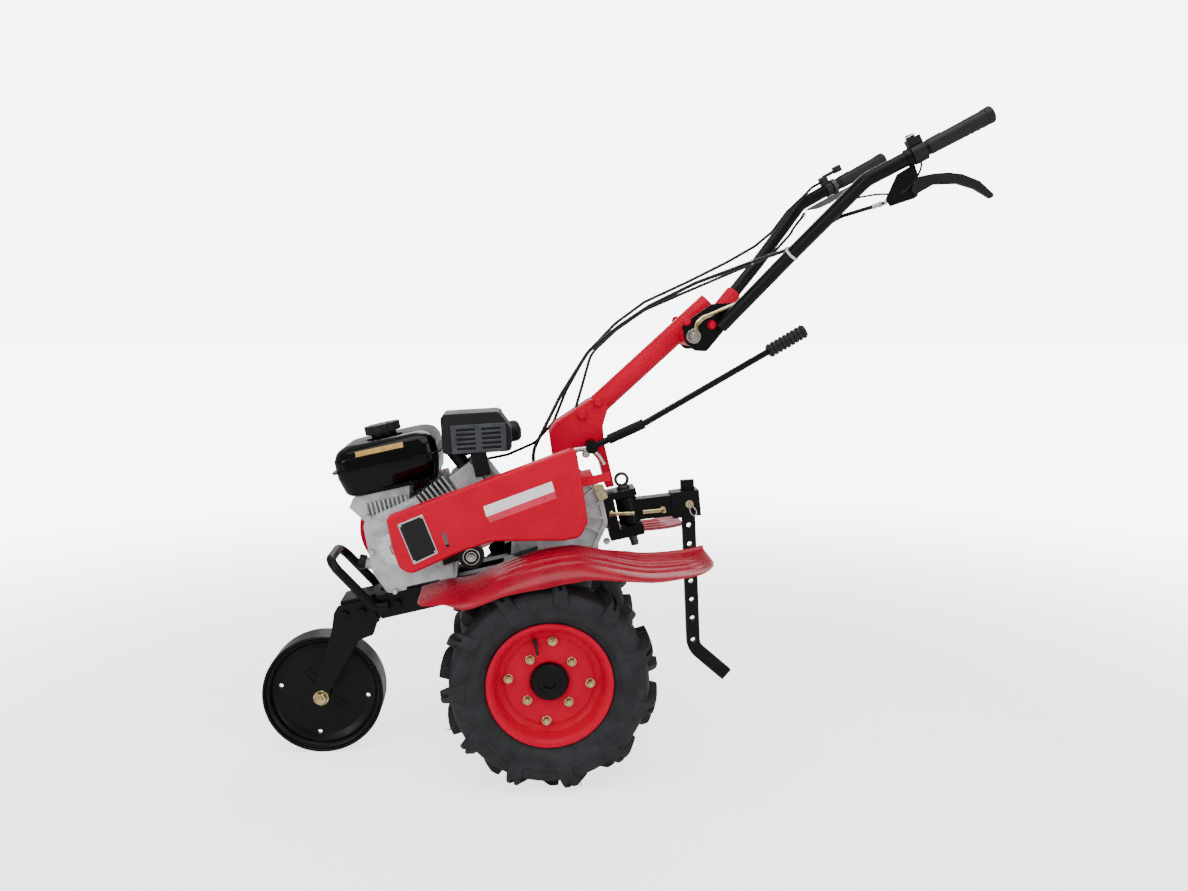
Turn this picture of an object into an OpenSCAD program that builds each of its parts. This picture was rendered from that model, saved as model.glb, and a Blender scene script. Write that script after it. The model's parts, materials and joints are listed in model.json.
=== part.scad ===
// Walking tractor: two drive wheels on one axle, a front transport wheel,
// an inclined air-cooled engine with a belt drive, a tilting handlebar and a rear drawbar.
// Pieces are placed in the machine's own frame: origin on the drive axle, X forward, Y left, Z up.
// The machine is then pitched nose-down until the front wheel meets the floor.

/* [Drive wheels] */
// Radius of a drive tyre at the tips of its lugs
tyre_r = 200; // [180:1:230]
// Height of a tyre lug above the carcass
lug_h = 16; // [8:1:22]
// Width of a drive tyre
tyre_w = 104; // [85:1:120]
// Distance between the centre planes of the two drive tyres
track = 410; // [390:2:470]
// Radius of the rim's outer flange
rim_flange_r = 116; // [108:1:124]
// Radius of the rim's bead seat
rim_seat_r = 101; // [94:1:106]
// Width of a rim over its flanges
rim_w = 74; // [60:1:84]
// Lugs on each side of a tyre
lug_count = 11; // [9:1:14]

/* [Front wheel] */
// Radius of the front wheel
front_r = 118; // [100:1:130]
// Width of the front wheel's rolling band
front_w = 62; // [40:1:66]
// Front wheel's centre ahead of the drive axle
front_x = 450; // [430:1:480]
// Front wheel's centre above the drive axle, in the machine's frame
front_z = 12; // [0:1:30]
// Diameter of the front wheel's axle bolt
front_bolt_d = 14; // [10:1:16]

/* [Frame] */
// Height of the frame rails above the axle, at their lower edge
rail_z = 142; // [140:1:150]
// Height of a frame rail
rail_h = 48; // [40:1:50]
// Width over the two frame rails
rail_span = 112; // [108:1:124]
// Width over the frame's nose, between the front strut's plates
nose_w = 80; // [76:1:92]
// Wall of a frame rail
rail_wall = 5; // [3:0.5:8]
// Front end of the rails
rail_front_x = 371; // [362:1:380]

/* [Engine] */
// Crankshaft's distance ahead of the drive axle
crank_x = 224; // [218:1:230]
// Crankshaft's height above the engine's feet
crank_h = 96; // [92:1:100]
// Width of the crankcase along the crankshaft
case_w = 124; // [116:1:128]
// Lean of the cylinder above the horizontal
cylinder_lean = 25; // [22:1:28]
// Radius of the fan shroud
shroud_r = 96; // [90:1:104]
// Length of the fuel tank over its seam
tank_l = 212; // [196:1:220]
// Width of the fuel tank over its seam
tank_w = 206; // [180:1:216]
// Height of the fuel tank's upper half
tank_top_h = 46; // [40:1:52]
// Diameter of the fuel cap
cap_d = 70; // [56:1:76]

/* [Belt drive] */
// Radius of the crankshaft pulley
crank_pulley_r = 33; // [30:1:36]
// Radius of the gearbox input pulley
input_pulley_r = 66; // [60:1:70]
// Outer face of the belt cover, from the middle plane
cover_y = 165; // [158:1:172]
// Wall of the belt cover
cover_wall = 2.5; // [1.5:0.5:4]

/* [Handlebar] */
// Diameter of the handlebar tubes
bar_d = 25; // [20:1:28]
// Diameter of a grip
grip_d = 31; // [30:1:34]
// Distance between the far ends of the grips
grip_span = 536; // [500:2:570]
// Diameter of the handle column's tube
column_d = 42; // [34:1:46]
// Diameter of the handlebar's pivot bolt
pivot_d = 12; // [10:1:14]

/* [Hitch] */
// Diameter of the drawbar's hitch pin
hitch_pin_d = 16; // [12:1:18]
// Width of the depth stake's flat bar
stake_w = 27; // [24:1:30]
// Thickness of the depth stake's flat bar
stake_t = 12; // [8:1:16]
// Length of the stake's straight run
stake_l = 346; // [310:1:370]
// Diameter of the stake's holes
stake_hole_d = 10; // [8:0.5:11]
// Spacing of the stake's holes
stake_pitch = 38.5; // [34:0.5:42]

/* [Hidden] */
$fn = 48;
// Gap between pieces that turn on each other
run_gap = 0.3;
// Gap between pieces that lie beside each other
seat_gap = 0.3;

// Pitch that brings the front wheel down to the floor
front_reach = norm([front_x, front_z]);
nose_down = asin((tyre_r - front_r) / front_reach) + atan2(front_z, front_x);

// Places in the machine's frame
engine_base_z = rail_z + rail_h;
crank = [crank_x, engine_base_z + crank_h];
input_shaft = [-58, 316];
idler = [95, 238];
hitch_at = [-219, 236];
pivot = [-407, 550];

// Where the drive axle lies along the stored part, so that the part's box is centred on the origin
grip_start = [-840, grip_span / 2 - 20, 792.5];
grip_dir = unit([-115, 20, 33]);
grip_l = 121;
grip_end_x = grip_start[0] + grip_l * grip_dir[0];
grip_end_z = grip_start[2] + grip_l * grip_dir[2];
front_end_x = front_x * cos(nose_down) + front_z * sin(nose_down) + front_r;
rear_end_x = grip_end_x * cos(nose_down) + grip_end_z * sin(nose_down) - grip_d / 2 * sin(nose_down);
axle_x = -(front_end_x + rear_end_x) / 2;

module parked() {
    translate([axle_x, 0, tyre_r]) rotate([0, nose_down, 0]) children();
}

// Vector and outline helpers
function unit(v) = v / norm(v);
function corner(a, b, c, r, n) =
    let (d1 = unit(b - a), d2 = unit(c - b), turn = acos(max(-1, min(1, d1 * d2))))
    turn < 1 || r <= 0 ? [b] :
    let (t = r * tan(turn / 2), centre = b + unit(d2 - d1) * r / cos(turn / 2),
         v1 = b - d1 * t - centre, v2 = b + d2 * t - centre)
    [for (i = [0:n]) centre + (sin(turn * (1 - i / n)) * v1 + sin(turn * i / n) * v2) / sin(turn)];
function rounded_path(p, r, n = 5) =
    concat([p[0]], [for (i = [1:len(p) - 2]) each corner(p[i - 1], p[i], p[i + 1], r, n)], [p[len(p) - 1]]);
function rounded_outline(p, r, n = 4) =
    let (m = len(p))
    [for (i = [0:m - 1]) each corner(p[(i + m - 1) % m], p[i], p[(i + 1) % m], is_list(r) ? r[i] : r, n)];
// Moves every edge of a counter-clockwise outline inwards by d
function inset(p, d) =
    let (m = len(p))
    [for (i = [0:m - 1])
        let (a = unit(p[i] - p[(i + m - 1) % m]), b = unit(p[(i + 1) % m] - p[i]),
             na = [-a[1], a[0]], nb = [-b[1], b[0]])
        p[i] + d * (na + nb) / (1 + na * nb)];

// A flat plate with an outline in the X-Z plane, from y0 to y0 + t
module side_plate(outline, y0, t) {
    translate([0, y0 + t, 0]) rotate([90, 0, 0]) linear_extrude(t) polygon(outline);
}
module cross_rod(at, d, y0, y1) {
    translate([at[0], y0, at[1]]) rotate([-90, 0, 0]) cylinder(d = d, h = y1 - y0);
}
module ring_profile(at, y0 = 0) {
    translate([at[0], y0, at[1]]) rotate([-90, 0, 0]) rotate_extrude($fn = 96) children();
}
module both_sides() {
    children();
    mirror([0, 1, 0]) children();
}
module rounded_block(size, r) {
    linear_extrude(size[2])
        polygon(rounded_outline([[0, 0], [size[0], 0], [size[0], size[1]], [0, size[1]]], r));
}

// Round tube swept along a list of points
function tangents(p) =
    [for (i = [0:len(p) - 1]) unit(p[min(i + 1, len(p) - 1)] - p[max(i - 1, 0)])];
function first_normal(t) = unit(cross(t, abs(t[1]) < 0.9 ? [0, 1, 0] : [1, 0, 0]));
function normals(t, i = 0, n = undef) =
    let (n0 = is_undef(n) ? first_normal(t[0]) : unit(n - (n * t[i]) * t[i]))
    i == len(t) - 1 ? [n0] : concat([n0], normals(t, i + 1, n0));
module tube_along(path, d, sides = 12) {
    t = tangents(path);
    n = normals(t);
    rings = len(path);
    points = [for (i = [0:rings - 1], j = [0:sides - 1])
        let (b = cross(t[i], n[i]), a = 360 * j / sides)
        path[i] + d / 2 * (cos(a) * n[i] + sin(a) * b)];
    walls = [for (i = [0:rings - 2], j = [0:sides - 1])
        let (k = (j + 1) % sides)
        [i * sides + j, (i + 1) * sides + j, (i + 1) * sides + k, i * sides + k]];
    ends = [[for (j = [0:sides - 1]) j], [for (j = [sides - 1:-1:0]) (rings - 1) * sides + j]];
    polyhedron(points, concat(walls, ends), convexity = 6);
}

// Frame and front end

rail_y = rail_span / 2;
rail_rear_x = -10;
nose_x = 298;
module frame_rails() {
    nose_y = nose_w / 2;
    color("#1a1a1c") {
        both_sides() {
            translate([rail_rear_x, rail_y - rail_wall, rail_z])
                cube([nose_x - rail_rear_x, rail_wall, rail_h]);
            translate([rail_rear_x, rail_y - 34, engine_base_z - rail_wall])
                cube([nose_x - rail_rear_x, 34 - rail_wall, rail_wall]);
            translate([nose_x, nose_y - rail_wall, rail_z])
                cube([rail_front_x - nose_x, rail_wall, rail_h]);
        }
        translate([nose_x - rail_wall, -rail_y + rail_wall, rail_z])
            cube([rail_wall, rail_span - 2 * rail_wall, rail_h]);
        translate([nose_x, -nose_y + rail_wall, engine_base_z - rail_wall])
            cube([rail_front_x - nose_x, nose_w - 2 * rail_wall, rail_wall]);
        translate([rail_front_x - rail_wall, -nose_y + rail_wall, rail_z])
            cube([rail_wall, nose_w - 2 * rail_wall, rail_h - rail_wall]);
        translate([rail_rear_x, -rail_y + rail_wall, rail_z])
            cube([rail_wall, rail_span - 2 * rail_wall, rail_h - rail_wall]);
    }
}

strut_t = 5;
strut_y = nose_w / 2 + seat_gap;
strut_outline = rounded_outline([
    [375, 184], [312, 184], [306, 140], [322, 112], [352, 108],
    [front_x + 4, front_z - 16], [front_x + 22, front_z + 2], [400, 135], [386, 172]
], [8, 6, 8, 10, 16, 10, 12, 16, 8]);
module front_strut() {
    color("#161618")
    both_sides() difference() {
        side_plate(strut_outline, strut_y, strut_t);
        cross_rod([front_x, front_z], front_bolt_d + 2 * seat_gap, strut_y - 1, strut_y + strut_t + 1);
    }
}

loop_d = 18;
loop_y = rail_y + loop_d / 2 + seat_gap;
loop_path = rounded_path([
    [276, loop_y, 168], [302, loop_y, 168], [366, loop_y, 278],
    [366, -loop_y, 278], [302, -loop_y, 168], [276, -loop_y, 168]
], 28, 5);
module lift_loop() {
    color("#141416") tube_along(loop_path, loop_d, 12);
}

// Engine

case_y = case_w / 2;
cyl_start = 74;
cyl_fin = 50;
cyl_dir = [-cos(cylinder_lean), sin(cylinder_lean)];
cyl_up = [sin(cylinder_lean), cos(cylinder_lean)];
case_points = [
    [136, engine_base_z], [272, engine_base_z], [291, engine_base_z + 46], [287, engine_base_z + 150],
    crank + cyl_dir * cyl_start + cyl_up * cyl_fin, crank + cyl_dir * cyl_start - cyl_up * cyl_fin,
    [128, engine_base_z + 40]];
case_radii = [10, 12, 30, 20, 1, 1, 14];
case_cover_t = 6;
case_outline = rounded_outline(case_points, case_radii);
tank_bottom_z = engine_base_z + 195;
case_cover_outline = rounded_outline(inset(case_points, 7), [6, 8, 24, 14, 8, 6, 10]);
module crankcase() {
    boss_y = case_y + case_cover_t;
    color("#b4b6b8") difference() {
        union() {
            side_plate(case_outline, -case_y, case_w);
            side_plate(case_cover_outline, case_y - 1, case_cover_t + 1);
            cross_rod(crank, 92, boss_y - 1, boss_y + 4);
            cross_rod(crank, 25 - 2 * seat_gap, case_y, 128);
            oil_neck() cylinder(d = 22, h = 24);
            both_sides() side_plate([
                [200, engine_base_z + 140], [282, engine_base_z + 140], [308, engine_base_z + 178],
                [296, tank_bottom_z], [186, tank_bottom_z]], 40, 6);
            for (i = [0:9])
                translate([196 + i * 8.4, 45, engine_base_z + 140]) cube([3, 14, 40]);
        }
        translate([170, -case_y - 1, engine_base_z - 1]) cube([66, case_w + 2, 9]);
    }
}

head_start = 142;
head_end = 196;
module along_cylinder() {
    translate([crank[0], 0, crank[1]]) rotate([0, -90 + cylinder_lean, 0]) children();
}
module cylinder_block() {
    color("#a9abad") along_cylinder() {
        translate([0, 0, cyl_start]) cylinder(d = 78, h = head_end - cyl_start);
        for (i = [0:6])
            translate([-cyl_fin, -56, cyl_start + 4 + i * 9.6]) cube([2 * cyl_fin, 112, 3]);
        translate([-44, -54, head_start + 4]) cube([84, 108, head_end - head_start - 4]);
    }
}

module rocker_cover() {
    color("#b9bbbd") along_cylinder()
        translate([-40, -38, head_end]) rounded_block([58, 76, 24], 10);
}

module fan_shroud() {
    color("#a3141c") difference() {
        union() {
            cross_rod(crank, 2 * shroud_r, -case_y - 66, -case_y);
            side_plate([
                crank + [-112, 20], crank + [-40, -60], crank + [0, shroud_r - 1], crank + [-104, 96]],
                -case_y - 50, 50);
        }
        translate([crank[0] - shroud_r - 1, -case_y - 70, crank[1] - shroud_r - 1])
            cube([2 * shroud_r + 2, 80, 22]);
    }
}

module recoil_starter() {
    y0 = -case_y - 66;
    color("#1b1b1d") difference() {
        union() {
            cross_rod(crank, 150, y0 - 26, y0);
            cross_rod(crank, 96, y0 - 38, y0 - 25);
            translate([crank[0] + 40, y0 - 30, crank[1] + 52]) cube([46, 22, 16]);
        }
        for (i = [0:11])
            translate([crank[0], y0 - 27, crank[1]]) rotate([0, i * 30, 0])
                translate([52, 0, -5]) cube([18, 12, 10]);
    }
}

muffler_at = [37, 28, engine_base_z + 269];
muffler_size = [132, 94, 77];
muffler_tilt = -9;
muffler_reach = muffler_size[0] / 2 * cos(muffler_tilt) - muffler_size[2] / 2 * sin(muffler_tilt);
tank_gap = 1.8;
tank_mid = [muffler_at[0] + muffler_reach + tank_gap + tank_l / 2, -22];
tank_seam_z = engine_base_z + 250;
tank_flange = 8;
module tank_slab(l, w, z, h, r) {
    translate([tank_mid[0] - l / 2, tank_mid[1] - w / 2, z]) rounded_block([l, w, h], r);
}
module fuel_tank() {
    l = tank_l - 2 * tank_flange;
    w = tank_w - 2 * tank_flange;
    color("#111113") {
        tank_slab(tank_l, tank_w, tank_seam_z - 2, 4, 30);
        hull() {
            tank_slab(l, w, tank_seam_z, tank_top_h * 0.46, 24);
            tank_slab(l - 8, w - 8, tank_seam_z + tank_top_h * 0.62, 2, 22);
            tank_slab(l - 22, w - 22, tank_seam_z + tank_top_h * 0.86, 2, 20);
            tank_slab(l - 44, w - 44, tank_seam_z + tank_top_h - 1, 1, 18);
        }
        hull() {
            tank_slab(l, w, tank_seam_z - 14, 14, 24);
            tank_slab(l - 16, w - 20, tank_bottom_z + 6, 2, 20);
            tank_slab(l - 30, w - 36, tank_bottom_z, 2, 16);
        }
    }
}

module fuel_cap() {
    translate([tank_mid[0] + 4, tank_mid[1], tank_seam_z + tank_top_h]) color("#161618") {
        cylinder(d = cap_d - 20, h = 5);
        difference() {
            translate([0, 0, 5]) cylinder(d = cap_d, h = 17);
            for (i = [0:11])
                rotate([0, 0, i * 30]) translate([cap_d / 2 + 3, 0, 4]) cylinder(d = 12, h = 20, $fn = 24);
        }
    }
}

module at_muffler() {
    translate(muffler_at) rotate([0, muffler_tilt, 0]) children();
}
module muffler() {
    l = muffler_size[0] / 2;
    h = muffler_size[2] / 2;
    color("#141414") {
        at_muffler() side_plate(rounded_outline(
            [[-l, -h], [l, -h], [l, h], [22 - l, h], [-l, h - 34]], 10),
            -muffler_size[1] / 2, muffler_size[1]);
        along_cylinder() translate([40, 18, 180]) rotate([0, 90, 0]) cylinder(d = 28, h = 36);
        translate([28, 56, engine_base_z + 184]) cube([30, 4, 46]);
    }
}

guard_t = 3;
module muffler_guard() {
    color("#26282c") at_muffler() difference() {
        translate([-56, muffler_size[1] / 2 + seat_gap, -37]) cube([104, guard_t, 54]);
        for (i = [0:4], s = [-1, 1])
            translate([s * 24 - 22, muffler_size[1] / 2 - 1, -31 + i * 9]) cube([36, 10, 4.5]);
    }
}

module air_cleaner() {
    color("#161617") {
        translate([-14, -128, engine_base_z + 218]) rounded_block([106, 96, 70], 20);
        translate([-14, -90, engine_base_z + 240]) rotate([0, -90, 0]) rotate_extrude($fn = 48)
            polygon([[0, -4], [22, -4], [22, 18], [20, 24], [15, 28], [0, 31]]);
    }
}

module carburettor() {
    color("#9a9c9e") {
        along_cylinder() translate([-22, -104, 148]) cube([42, 50, 42]);
        translate([36, -100, engine_base_z + 176]) cube([30, 34, 42]);
    }
}

module oil_fillers() {
    color("#2a2a2c") oil_neck() translate([0, 0, 24]) cylinder(d = 30, h = 14, $fn = 8);
}

// Belt drive

belt_y = 112;
pulley_w = 36;
module pulley(at, r, bore) {
    ring_profile(at, belt_y) polygon([
        [bore / 2, -pulley_w / 2], [r, -pulley_w / 2], [r - 10, -6], [r - 10, 6], [r, pulley_w / 2],
        [bore / 2, pulley_w / 2]]);
}
module crank_pulley() {
    color("#3a3b3d") pulley(crank, crank_pulley_r, 25);
}
module input_pulley() {
    color("#3a3b3d") pulley(input_shaft, input_pulley_r, 25);
}

belt_t = 8;
function belt_outline(extra) =
    let (run = input_shaft - crank, l = norm(run), tilt = atan2(run[1], run[0]),
         ra = crank_pulley_r - 10 + extra, rb = input_pulley_r - 10 + extra,
         open = acos((ra - rb) / l))
    concat(
        [for (i = [0:16]) crank + ra * [cos(tilt + open + (360 - 2 * open) * i / 16),
                                        sin(tilt + open + (360 - 2 * open) * i / 16)]],
        [for (i = [0:16]) input_shaft + rb * [cos(tilt - open + 2 * open * i / 16),
                                              sin(tilt - open + 2 * open * i / 16)]],
        [idler + [0, idler_r + 2 * seat_gap + belt_t - extra]]);
module drive_belt() {
    color("#1c1c1c") difference() {
        side_plate(belt_outline(0.3 + belt_t), belt_y - 5.5, 11);
        side_plate(belt_outline(0.3), belt_y - 7, 14);
    }
}

idler_r = 24;
module idler_pulley() {
    y0 = case_y + case_cover_t + seat_gap;
    color("#2c2d2f") {
        ring_profile(idler, belt_y) polygon([
            [0, -12], [idler_r, -12], [idler_r, 12], [idler_r - 7, 12], [idler_r - 7, 9], [8, 9],
            [8, 12], [0, 12]]);
        cross_rod(idler, 12, y0, belt_y - 11);
        side_plate([idler + [-10, -8], idler + [60, -16], idler + [60, 2], idler + [-10, 10]], y0, 5);
    }
}

cover_depth = 30;
cover_points = [
    [228, 296], [226, 352], [-139, 403], [-136, 327], [-132, 262], [-112, 237], [-80, 238], [46, 266],
    [104, 261], [207, 239], [224, 256]];
function reversed(p) = [for (i = [len(p) - 1:-1:0]) p[i]];
cover_radii = [8, 5, 8, 30, 22, 18, 20, 60, 60, 24, 14];
module belt_cover() {
    outer = rounded_outline(cover_points, cover_radii, 5);
    inner_radii = [for (r = cover_radii) max(1, r - cover_wall)];
    inner = rounded_outline(inset(cover_points, cover_wall), inner_radii, 5);
    color("#c4121e") {
        difference() {
            side_plate(outer, cover_y - cover_depth, cover_depth);
            side_plate(inner, cover_y - cover_depth - 1, cover_depth - cover_wall + 1);
            translate([128, cover_y - 10, 277]) rotate([-90, 0, 0]) cylinder(d = 7, h = 20);
            translate([128, cover_y - 10, 304]) rotate([-90, 0, 0]) cylinder(d = 7, h = 20);
            translate([124.5, cover_y - 10, 277]) cube([7, 20, 27]);
        }
        cross_rod([170, 295], 12, case_y + case_cover_t, cover_y - cover_wall + 0.5);
        translate([-160, box_w / 2 + seat_gap, 325]) cube([26, cover_y - 25 - box_w / 2, 17]);
        translate([-190, cover_y - 29, 325]) cube([40, 4, 16]);
    }
}

// Gearbox and handle column

box_w = 112;
box_top_z = 338;
box_rear_x = -172;
axle_d = 32;
axle_bore = axle_d + 2 * run_gap;
box_flange = 4;
box_points = [
    [-60, -50], [46, -50], [58, 20], [30, 190], [-10, box_top_z], [-132, box_top_z], [box_rear_x, 302],
    [box_rear_x, 230], [-148, 198], [-112, 140], [-70, 20]];
box_radii = [36, 36, 30, 40, 20, 10, 10, 20, 20, 30, 30];
gearbox_outline = rounded_outline(box_points, box_radii);
module gearbox() {
    face = box_w / 2;
    pocket = rounded_outline(inset(box_points, 9), [for (r = box_radii) max(2, r - 9)]);
    color("#b2b4b6") {
        difference() {
            side_plate(gearbox_outline, -face - box_flange, box_w + 2 * box_flange);
            both_sides() difference() {
                side_plate(pocket, face, box_flange + 1);
                cross_rod([0, 0], 74, face - 1, face + box_flange + 2);
                for (a = [150, 172, 194, 216])
                    translate([-88, face - 1, 262]) rotate([0, -a, 0]) translate([34, 0, -2.5])
                        cube([60, box_flange + 3, 5]);
            }
            translate([-185, face, 310]) cube([62, box_flange + 1, 40]);
            cross_rod([0, 0], axle_bore, -box_w, box_w);
            translate([rail_rear_x, -box_w, rail_z]) cube([400, 2 * box_w, rail_h]);
        }
        cross_rod(input_shaft, 25 - 2 * seat_gap, face - 1, 138);
    }
}

column_outline = rounded_outline([
    [-92, box_top_z], [-98, 424], [-114, 440], [-192, 471], [-217, 462], [-220, 445], [-204, 416],
    [-199, 382], [-201, 293], [-184, 293], [-182, 369], [-142, 378], [-136, box_top_z]
], [2, 12, 12, 12, 10, 10, 16, 20, 2, 2, 8, 8, 2]);
module column_base() {
    color("#bf1420") side_plate(column_outline, -30, 60);
}

column_tilt = atan2(141, -241);
column_foot = [-203, 454];
column_l = 297;
module along_column() {
    translate([column_foot[0], 0, column_foot[1]])
        rotate([0, 90 - column_tilt, 0]) children();
}
module handle_column() {
    color("#c4121e") difference() {
        union() {
            difference() {
                along_column() cylinder(d = column_d, h = column_l);
                side_plate(column_outline, -30, 60);
                along_column() translate([0, 0, column_l - 60]) cylinder(d = column_d - 6, h = 70);
            }
            cross_rod(pivot, 40, -plate_y + seat_gap, plate_y - seat_gap);
        }
        cross_rod(pivot, pivot_d + 2 * run_gap, -plate_y - 1, plate_y + 1);
    }
}

module clamp_lever() {
    color("#b8b6a0") {
        cross_rod(pivot, pivot_d, -plate_y - 12, plate_y + 16);
        mirror([0, 1, 0]) cross_rod(pivot, 24, plate_y + 6 + seat_gap, plate_y + 14);
        cross_rod(pivot, 20, plate_y + 6 + seat_gap, plate_y + 12);
        tube_along(rounded_path([
            [pivot[0], plate_y + 17, pivot[1] - 4], [-415, plate_y + 17, 572], [-430, plate_y + 17, 581],
            [-502, plate_y + 17, 594]], 8, 4), 9, 10);
    }
}

module shift_lever() {
    color("#161618") {
        tube_along([[-178, 60, 384], [-284, 60, 407], [-543, 60, 490]], 13, 12);
        tube_along([[-206, 60, 390.1], [-280, 60, 406.1]], 20, 14);
        cross_rod([-172, 383], 24, 30, 68);
    }
}
module shift_grip() {
    grip = [[-543.4, 60, 490.1], [-622, 60, 515.3]];
    color("#121212") {
        tube_along(grip, 23, 16);
        for (i = [0:8])
            let (a = 0.04 + i * 0.108, b = a + 0.055)
            tube_along([grip[0] + a * (grip[1] - grip[0]), grip[0] + b * (grip[1] - grip[0])], 28, 16);
    }
}

// Fenders

fender_t = 2;
fender_in = 110;
fender_out = 264;
fender_line = [
    [198, 199], [150, 203], [118, 199], [90, 200], [42, 210], [-30, 218], [-90, 214], [-126, 202],
    [-197, 170], [-240, 158], [-300, 150], [-338, 150]];
fender_rear = [[-126, 202], [-197, 170], [-240, 158], [-300, 150], [-338, 150]];
fender_drop = [1, 8, 22, 22, 25, 36, 34, 26, 15, 12, 6, 1];
module fenders() {
    n = len(fender_line);
    lip = [for (i = [0:n - 1]) fender_line[i] - [0, fender_drop[i]]];
    color("#b0141e") both_sides() {
        side_plate(band(fender_line, 0, fender_t), fender_in, fender_out - fender_in);
        side_plate(concat(lifted(fender_line, 1), reversed(lip)), fender_out - fender_t, fender_t);
        for (y = [150, 182, 214])
            side_plate(band(fender_line, 1, fender_t + 4), y, 9);
        side_plate(band(fender_rear, 1, fender_t + 9), fender_in, 3);
    }
}
module fender_stays() {
    low = [[40, 210.2 - seat_gap], [-28, 217.8 - seat_gap]];
    color("#1a1a1c") both_sides()
        side_plate([low[0], low[1], low[1] - [0, 6], low[0] - [0, 6]], box_w / 2 + box_flange, 70);
}

// Hitch

module hitch_block() {
    color("#18181a") difference() {
        translate([hitch_at[0] - 22, -30, hitch_at[1] - 50]) cube([box_rear_x - hitch_at[0] + 22, 60, 94]);
        translate([hitch_at[0] - 40, -40, hitch_at[1] - 30]) cube([65, 80, 60]);
        translate([hitch_at[0], 0, hitch_at[1] - 60]) cylinder(d = hitch_pin_d + 2 * run_gap, h = 120);
    }
}
module hitch_pin() {
    color("#232326") translate([hitch_at[0], 0, hitch_at[1]]) {
        translate([0, 0, -74]) cylinder(d = hitch_pin_d, h = 118);
        translate([0, 0, 44]) cylinder(d = 26, h = 5);
        translate([0, 4, 62]) rotate([90, 0, 0]) difference() {
            cylinder(d = 30, h = 8);
            translate([0, 0, -1]) cylinder(d = 18, h = 10);
        }
    }
}
drawbar_droop = 6;
stake_x = -122;
stake_lean = 3.2;
foot_bend = 46;
foot_l = 92;
module at_drawbar() {
    translate([hitch_at[0], 0, hitch_at[1]]) rotate([0, -drawbar_droop, 0]) children();
}
module drawbar() {
    color("#151517") difference() {
        union() {
            at_drawbar() translate([stake_x + 12, -17, -21]) cube([-stake_x - 18, 34, 42]);
            at_drawbar() translate([stake_x - 22, -20, -26]) cube([57, 40, 52]);
            translate([hitch_at[0], 0, hitch_at[1] - 27]) cylinder(d = 43, h = 54);
        }
        at_stake() stake_bar(0.3);
        at_stake() translate([0, -30, 0]) rotate([-90, 0, 0]) cylinder(d = stake_hole_d, h = 60);
        translate([hitch_at[0], 0, hitch_at[1] - 60]) cylinder(d = hitch_pin_d + 2 * run_gap, h = 120);
    }
}
module depth_stake() {
    h = stake_w / 2;
    bend_z = 46 - stake_l;
    miter = h * tan(foot_bend / 2);
    tip = [0, bend_z] - foot_l * [sin(foot_bend), cos(foot_bend)];
    across = h * [cos(foot_bend), -sin(foot_bend)];
    outline = rounded_outline([
        [-h, 46], [-h, bend_z + miter], tip - across, tip + across, [h, bend_z - miter], [h, 46]],
        [0.5, 22, 0.5, 0.5, 22 + stake_w, 0.5]);
    holes = concat([0], [for (i = [0:5]) 8 + (i + 1) * stake_pitch], [stake_l - 61]);
    color("#161618") at_stake() difference() {
        side_plate(outline, -stake_t / 2, stake_t);
        for (z = holes)
            translate([0, -stake_t, -z]) rotate([-90, 0, 0]) cylinder(d = stake_hole_d, h = 2 * stake_t);
    }
}
module stake_pin() {
    color("#b8b6a0") at_stake() {
        translate([0, -26, 0]) rotate([-90, 0, 0]) cylinder(d = stake_hole_d - 2 * seat_gap, h = 52);
        translate([0, 20, 0]) rotate([-90, 0, 0]) cylinder(d = 16, h = 4);
    }
}

// Drive wheels

hub_in = box_w / 2 + box_flange + 6;
wheel_y = track / 2;
module drive_axle() {
    color("#4a4b4d") {
        cross_rod([0, 0], axle_d, -hub_in, hub_in);
        both_sides() cross_rod([0, 0], axle_d - 2 * seat_gap, hub_in, wheel_y + 6);
    }
}
module wheel_hubs() {
    color("#161617") both_sides() ring_profile([0, 0], 0)
        polygon([[axle_d / 2, hub_in], [26, hub_in], [26, wheel_y - 6], [34, wheel_y - 6], [34, wheel_y + 12],
                 [axle_d / 2, wheel_y + 12]]);
}
rim_wall = 3;
rim_well_r = rim_seat_r - rim_wall;
rim_seat_y = rim_w / 2 - rim_wall;
module rims() {
    color("#cf1020") both_sides() ring_profile([0, 0], wheel_y)
        polygon([[34 + seat_gap, 0], [80, 0], [rim_well_r, -20], [rim_well_r, -rim_w / 2],
                 [rim_flange_r, -rim_w / 2], [rim_flange_r, -rim_seat_y], [rim_seat_r, -rim_seat_y],
                 [rim_seat_r, rim_seat_y], [rim_flange_r, rim_seat_y], [rim_flange_r, rim_w / 2],
                 [rim_well_r, rim_w / 2], [rim_well_r, -12], [82, 6], [34 + seat_gap, 6]]);
}
bead_w = rim_w - 2 * rim_wall - 2 * seat_gap;
carcass_r = tyre_r - lug_h;
lug_t = 17;
lug_chevron = 36;
module tyres() {
    color("#1a1b1c") both_sides() tyre();
}

// Front wheel

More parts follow.
